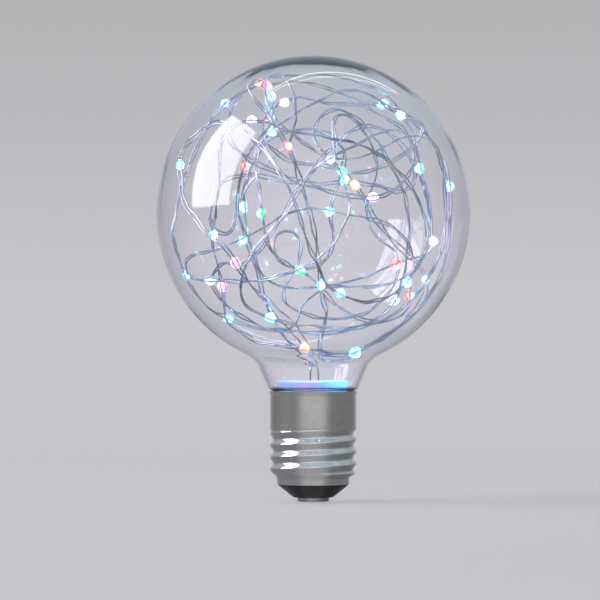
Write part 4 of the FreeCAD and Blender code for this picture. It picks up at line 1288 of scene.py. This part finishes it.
@dataclass
class Studio:
    """Plain pale floor and background, a tall soft panel at the left, a small one above, and the camera.

    The room is dim at the sides, brighter above, bright behind the viewer, and brighter behind the
    object, where the backdrop hangs. Its levels go by the direction's parts, from -1 to 1.
    """

    background: str = "#c7c5c9"
    background_top: str = "#b3b3b6"
    background_rise: Span = Span(0.0, 0.07)
    # Background brighter where it is seen through glass: painted light.
    painted_glass_glow_span: Span = Span(0.0, 1.0, 1.0, 1.2)
    distance: float = 1300 * MM
    pixels_per_mm: float = 3.30
    globe_middle: tuple[float, float] = (313.2, 212.5)
    frame_pixels: int = 600
    sensor: float = 36.0
    sight: float = 50.0
    globe_height: float = 87.5 * MM
    above: Span = Span(-0.1, 0.9, 0.28, 0.85)
    behind: Span = Span(0.76, 0.98, 0.0, 0.28)
    facing: Span = Span(-0.55, -0.98, 0.0, 0.62)
    room_low: str = "#e6e6f2"
    room_high: str = "#cadfee"
    room_rise: Span = Span(0.0, 0.6)
    floor_rings: tuple[float, ...] = (0.0, 0.5, 2.0, 6.0)
    floor_depth: float = 0.3 * MM
    floor_columns: int = 96
    floor_fade: Span = Span(0.05, 0.7, 0.72, 1.0)
    # Darker floor tone that reflections see: painted shade.
    floor_painted_shade_tone: str = "#96989e"
    floor_seen: str = "#d8d5ca"
    # Dimmer floor glow in reflections: painted shade.
    reflected_painted_dimming: Span = Span(0.0, 1.0, 0.84, 1.0)
    reflected_share: Span = Span(0.0, 1.0, 0.7, 1.0)
    # Floor dimmer towards the sides in reflections: painted shade.
    painted_side_shade_span: Span = Span(0.3, 0.8, 1.15, 0.42)

    def camera(self) -> None:
        """Places the camera level, so that the globe lands where the photograph has it."""
        data = bpy.data.cameras.new("camera")
        data.sensor_width = self.sensor
        data.lens = self.pixels_per_mm * self.distance / MM * self.sensor / self.frame_pixels
        data.clip_end = self.sight
        half = self.frame_pixels / 2
        across = (half - self.globe_middle[0]) / self.pixels_per_mm * MM
        up = self.globe_height - (half - self.globe_middle[1]) / self.pixels_per_mm * MM
        made = bpy.data.objects.new("camera", data)
        made.location = (across, -self.distance, up)
        made.rotation_euler = (math.pi / 2, 0, 0)
        bpy.context.scene.collection.objects.link(made)
        bpy.context.scene.camera = made

    def world(self) -> None:
        """Makes a pale background for the straight view, and a room for light and reflections."""
        world = bpy.data.worlds.new("studio")
        bpy.context.scene.world = world
        world.use_nodes = True
        tree = world.node_tree
        tree.nodes.clear()
        direction = add_node(tree, "ShaderNodeTexCoord").outputs["Generated"]
        parts = add_node(tree, "ShaderNodeSeparateXYZ", {0: direction}).outputs
        above = add_node(tree, "ShaderNodeMapRange", self.above.over(parts["Z"]))
        behind = add_node(tree, "ShaderNodeMapRange", self.behind.over(parts["Y"]))
        facing = add_node(
            tree, "ShaderNodeMapRange", self.facing.over(parts["Y"]), interpolation_type="SMOOTHSTEP"
        )
        room = add_node(tree, "ShaderNodeMath", {0: above, 1: behind}, operation="ADD")
        room = add_node(tree, "ShaderNodeMath", {0: room, 1: facing}, operation="ADD")
        high = add_node(tree, "ShaderNodeMapRange", self.room_rise.over(parts["Z"]))
        tones = {0: high, 6: linear(self.room_low), 7: linear(self.room_high)}
        tone = add_node(tree, "ShaderNodeMix", tones, data_type="RGBA").outputs[2]
        lit = add_node(tree, "ShaderNodeBackground", {"Color": tone, "Strength": room})
        height = add_node(tree, "ShaderNodeMapRange", self.background_rise.over(parts["Z"]))
        tones = {0: height, 6: linear(self.background), 7: linear(self.background_top)}
        tone = add_node(tree, "ShaderNodeMix", tones, data_type="RGBA").outputs[2]
        plain = add_node(tree, "ShaderNodeBackground", {"Color": tone, "Strength": self.painted_glass_glow(tree)})
        mixed = add_node(tree, "ShaderNodeMixShader", {0: straight_view(tree), 1: lit, 2: plain})
        add_node(tree, "ShaderNodeOutputWorld", {"Surface": mixed})

    def painted_glass_glow(self, tree: bpy.types.NodeTree) -> bpy.types.Node:
        """Returns the background's strength: 1 for the eye, and a little more through glass, which is
        painted light that brightens what the globe shows.
        """
        passed = add_node(tree, "ShaderNodeLightPath").outputs["Is Transmission Ray"]
        return add_node(tree, "ShaderNodeMapRange", self.painted_glass_glow_span.over(passed))

    def painted_side_shade(
        self, tree: bpy.types.NodeTree, place: bpy.types.NodeSocket, straight: bpy.types.Node
    ) -> bpy.types.Node:
        """Paints shade on the floor as reflections see it: dimmer at the sides, and full in front and
        behind.

        Args:
            tree: The floor's node tree.
            place: Object coordinates.
            straight: 1 for the straight view, which sees the floor at one level.

        Returns:
            The node that gives the share of the floor's light.
        """
        outwards = add_node(tree, "ShaderNodeVectorMath", {0: place}, operation="NORMALIZE")
        parts = add_node(tree, "ShaderNodeSeparateXYZ", {0: outwards}).outputs
        sideways = add_node(tree, "ShaderNodeMath", {0: parts["X"]}, operation="ABSOLUTE")
        dim = add_node(
            tree, "ShaderNodeMapRange", self.painted_side_shade_span.over(sideways), interpolation_type="SMOOTHSTEP"
        )
        return add_node(tree, "ShaderNodeMapRange", {"Value": straight, "To Min": dim, "To Max": 1.0})

    def floor(self) -> None:
        """Lays a round floor that takes a soft shadow near the object and fades to the background."""
        rings = np.array([(radius, -self.floor_depth) for radius in self.floor_rings])
        made = grid_object("floor", turned(rings, self.floor_columns))
        material, tree = empty_material("pale_floor")
        place = add_node(tree, "ShaderNodeTexCoord").outputs["Object"]
        far = add_node(tree, "ShaderNodeVectorMath", {0: place}, operation="LENGTH").outputs["Value"]
        fade = add_node(
            tree, "ShaderNodeMapRange", self.floor_fade.over(far), interpolation_type="SMOOTHSTEP"
        )
        straight = straight_view(tree)
        level = add_node(tree, "ShaderNodeMapRange", self.reflected_painted_dimming.over(straight))
        # Painted light and painted shade: the floor's glow is brighter through glass and dimmer at the
        # sides in reflections.
        for factor in (self.painted_glass_glow(tree), self.painted_side_shade(tree, place, straight)):
            level = add_node(tree, "ShaderNodeMath", {0: level, 1: factor}, operation="MULTIPLY")
        pale = {"Color": linear(self.background), "Strength": level}
        plain = add_node(tree, "ShaderNodeEmission", pale)
        # Reflections see a darker tone of the floor: painted shade.
        tones = {0: straight, 6: linear(self.floor_painted_shade_tone), 7: linear(self.floor_seen)}
        tone = add_node(tree, "ShaderNodeMix", tones, data_type="RGBA").outputs[2]
        matt = add_node(tree, "ShaderNodeBsdfDiffuse", {"Color": tone})
        part = add_node(tree, "ShaderNodeMapRange", self.reflected_share.over(straight))
        share = add_node(tree, "ShaderNodeMath", {0: fade, 1: part}, operation="MULTIPLY")
        mixed = add_node(tree, "ShaderNodeMixShader", {0: share, 1: matt, 2: plain})
        add_node(tree, "ShaderNodeOutputMaterial", {"Surface": mixed})
        made.data.materials.append(material)

    def panel(self, name: str, corners: tuple, strength: float, colour: str) -> None:
        """Hangs a flat glowing panel, given by its four corners. The straight view passes through it.

        Args:
            name: The panel's name.
            corners: Corners in order, in metres from the globe's centre.
            strength: Brightness, where 1 is white.
            colour: Its sRGB colour.
        """
        places = np.array(corners) + np.array((0, 0, self.globe_height))
        mesh = bpy.data.meshes.new(name)
        mesh.from_pydata(places.tolist(), [], [[0, 1, 2, 3]])
        made = bpy.data.objects.new(name, mesh)
        bpy.context.scene.collection.objects.link(made)
        material, tree = empty_material(name)
        glow = add_node(tree, "ShaderNodeEmission", {"Color": linear(colour), "Strength": strength})
        clear = add_node(tree, "ShaderNodeBsdfTransparent")
        mixed = add_node(tree, "ShaderNodeMixShader", {0: straight_view(tree), 1: glow, 2: clear})
        add_node(tree, "ShaderNodeOutputMaterial", {"Surface": mixed})
        mesh.materials.append(material)

    def lights(self) -> None:
        """Hangs the tall panel at the left and a narrow one above and behind."""
        self.panel("tall_panel", (
            (-0.62, -0.327, 0.045), (-0.62, 0.072, 0.031), (-0.62, 0.248, 0.748), (-0.62, -0.298, 0.866),
        ), 5.2, "#f4f4ff")
        self.panel("top_panel", (
            (-0.262, 0.177, 0.713), (0.322, 0.496, 0.494), (0.322, 0.504, 0.478), (-0.262, 0.190, 0.700),
        ), 6.0, "#f4f8ff")

    def build(self) -> None:
        """Sets up the camera, the world, the floor and the lights."""
        bpy.context.scene.view_settings.view_transform = "Standard"
        self.camera()
        self.world()
        self.floor()
        self.lights()


def main() -> None:
    """Builds the studio and the bulb's sub-assemblies in order."""
    logging.basicConfig(level=logging.INFO, format="%(message)s")
    Studio().build()
    globe = GlassEnvelope()
    plug = NeckPlug()
    globe.build()
    ScrewCap().build()
    plug.build()
    CapInside().build()
    LightString(globe, plug).build()
    bpy.context.view_layer.update()


if __name__ == "__main__":
    main()
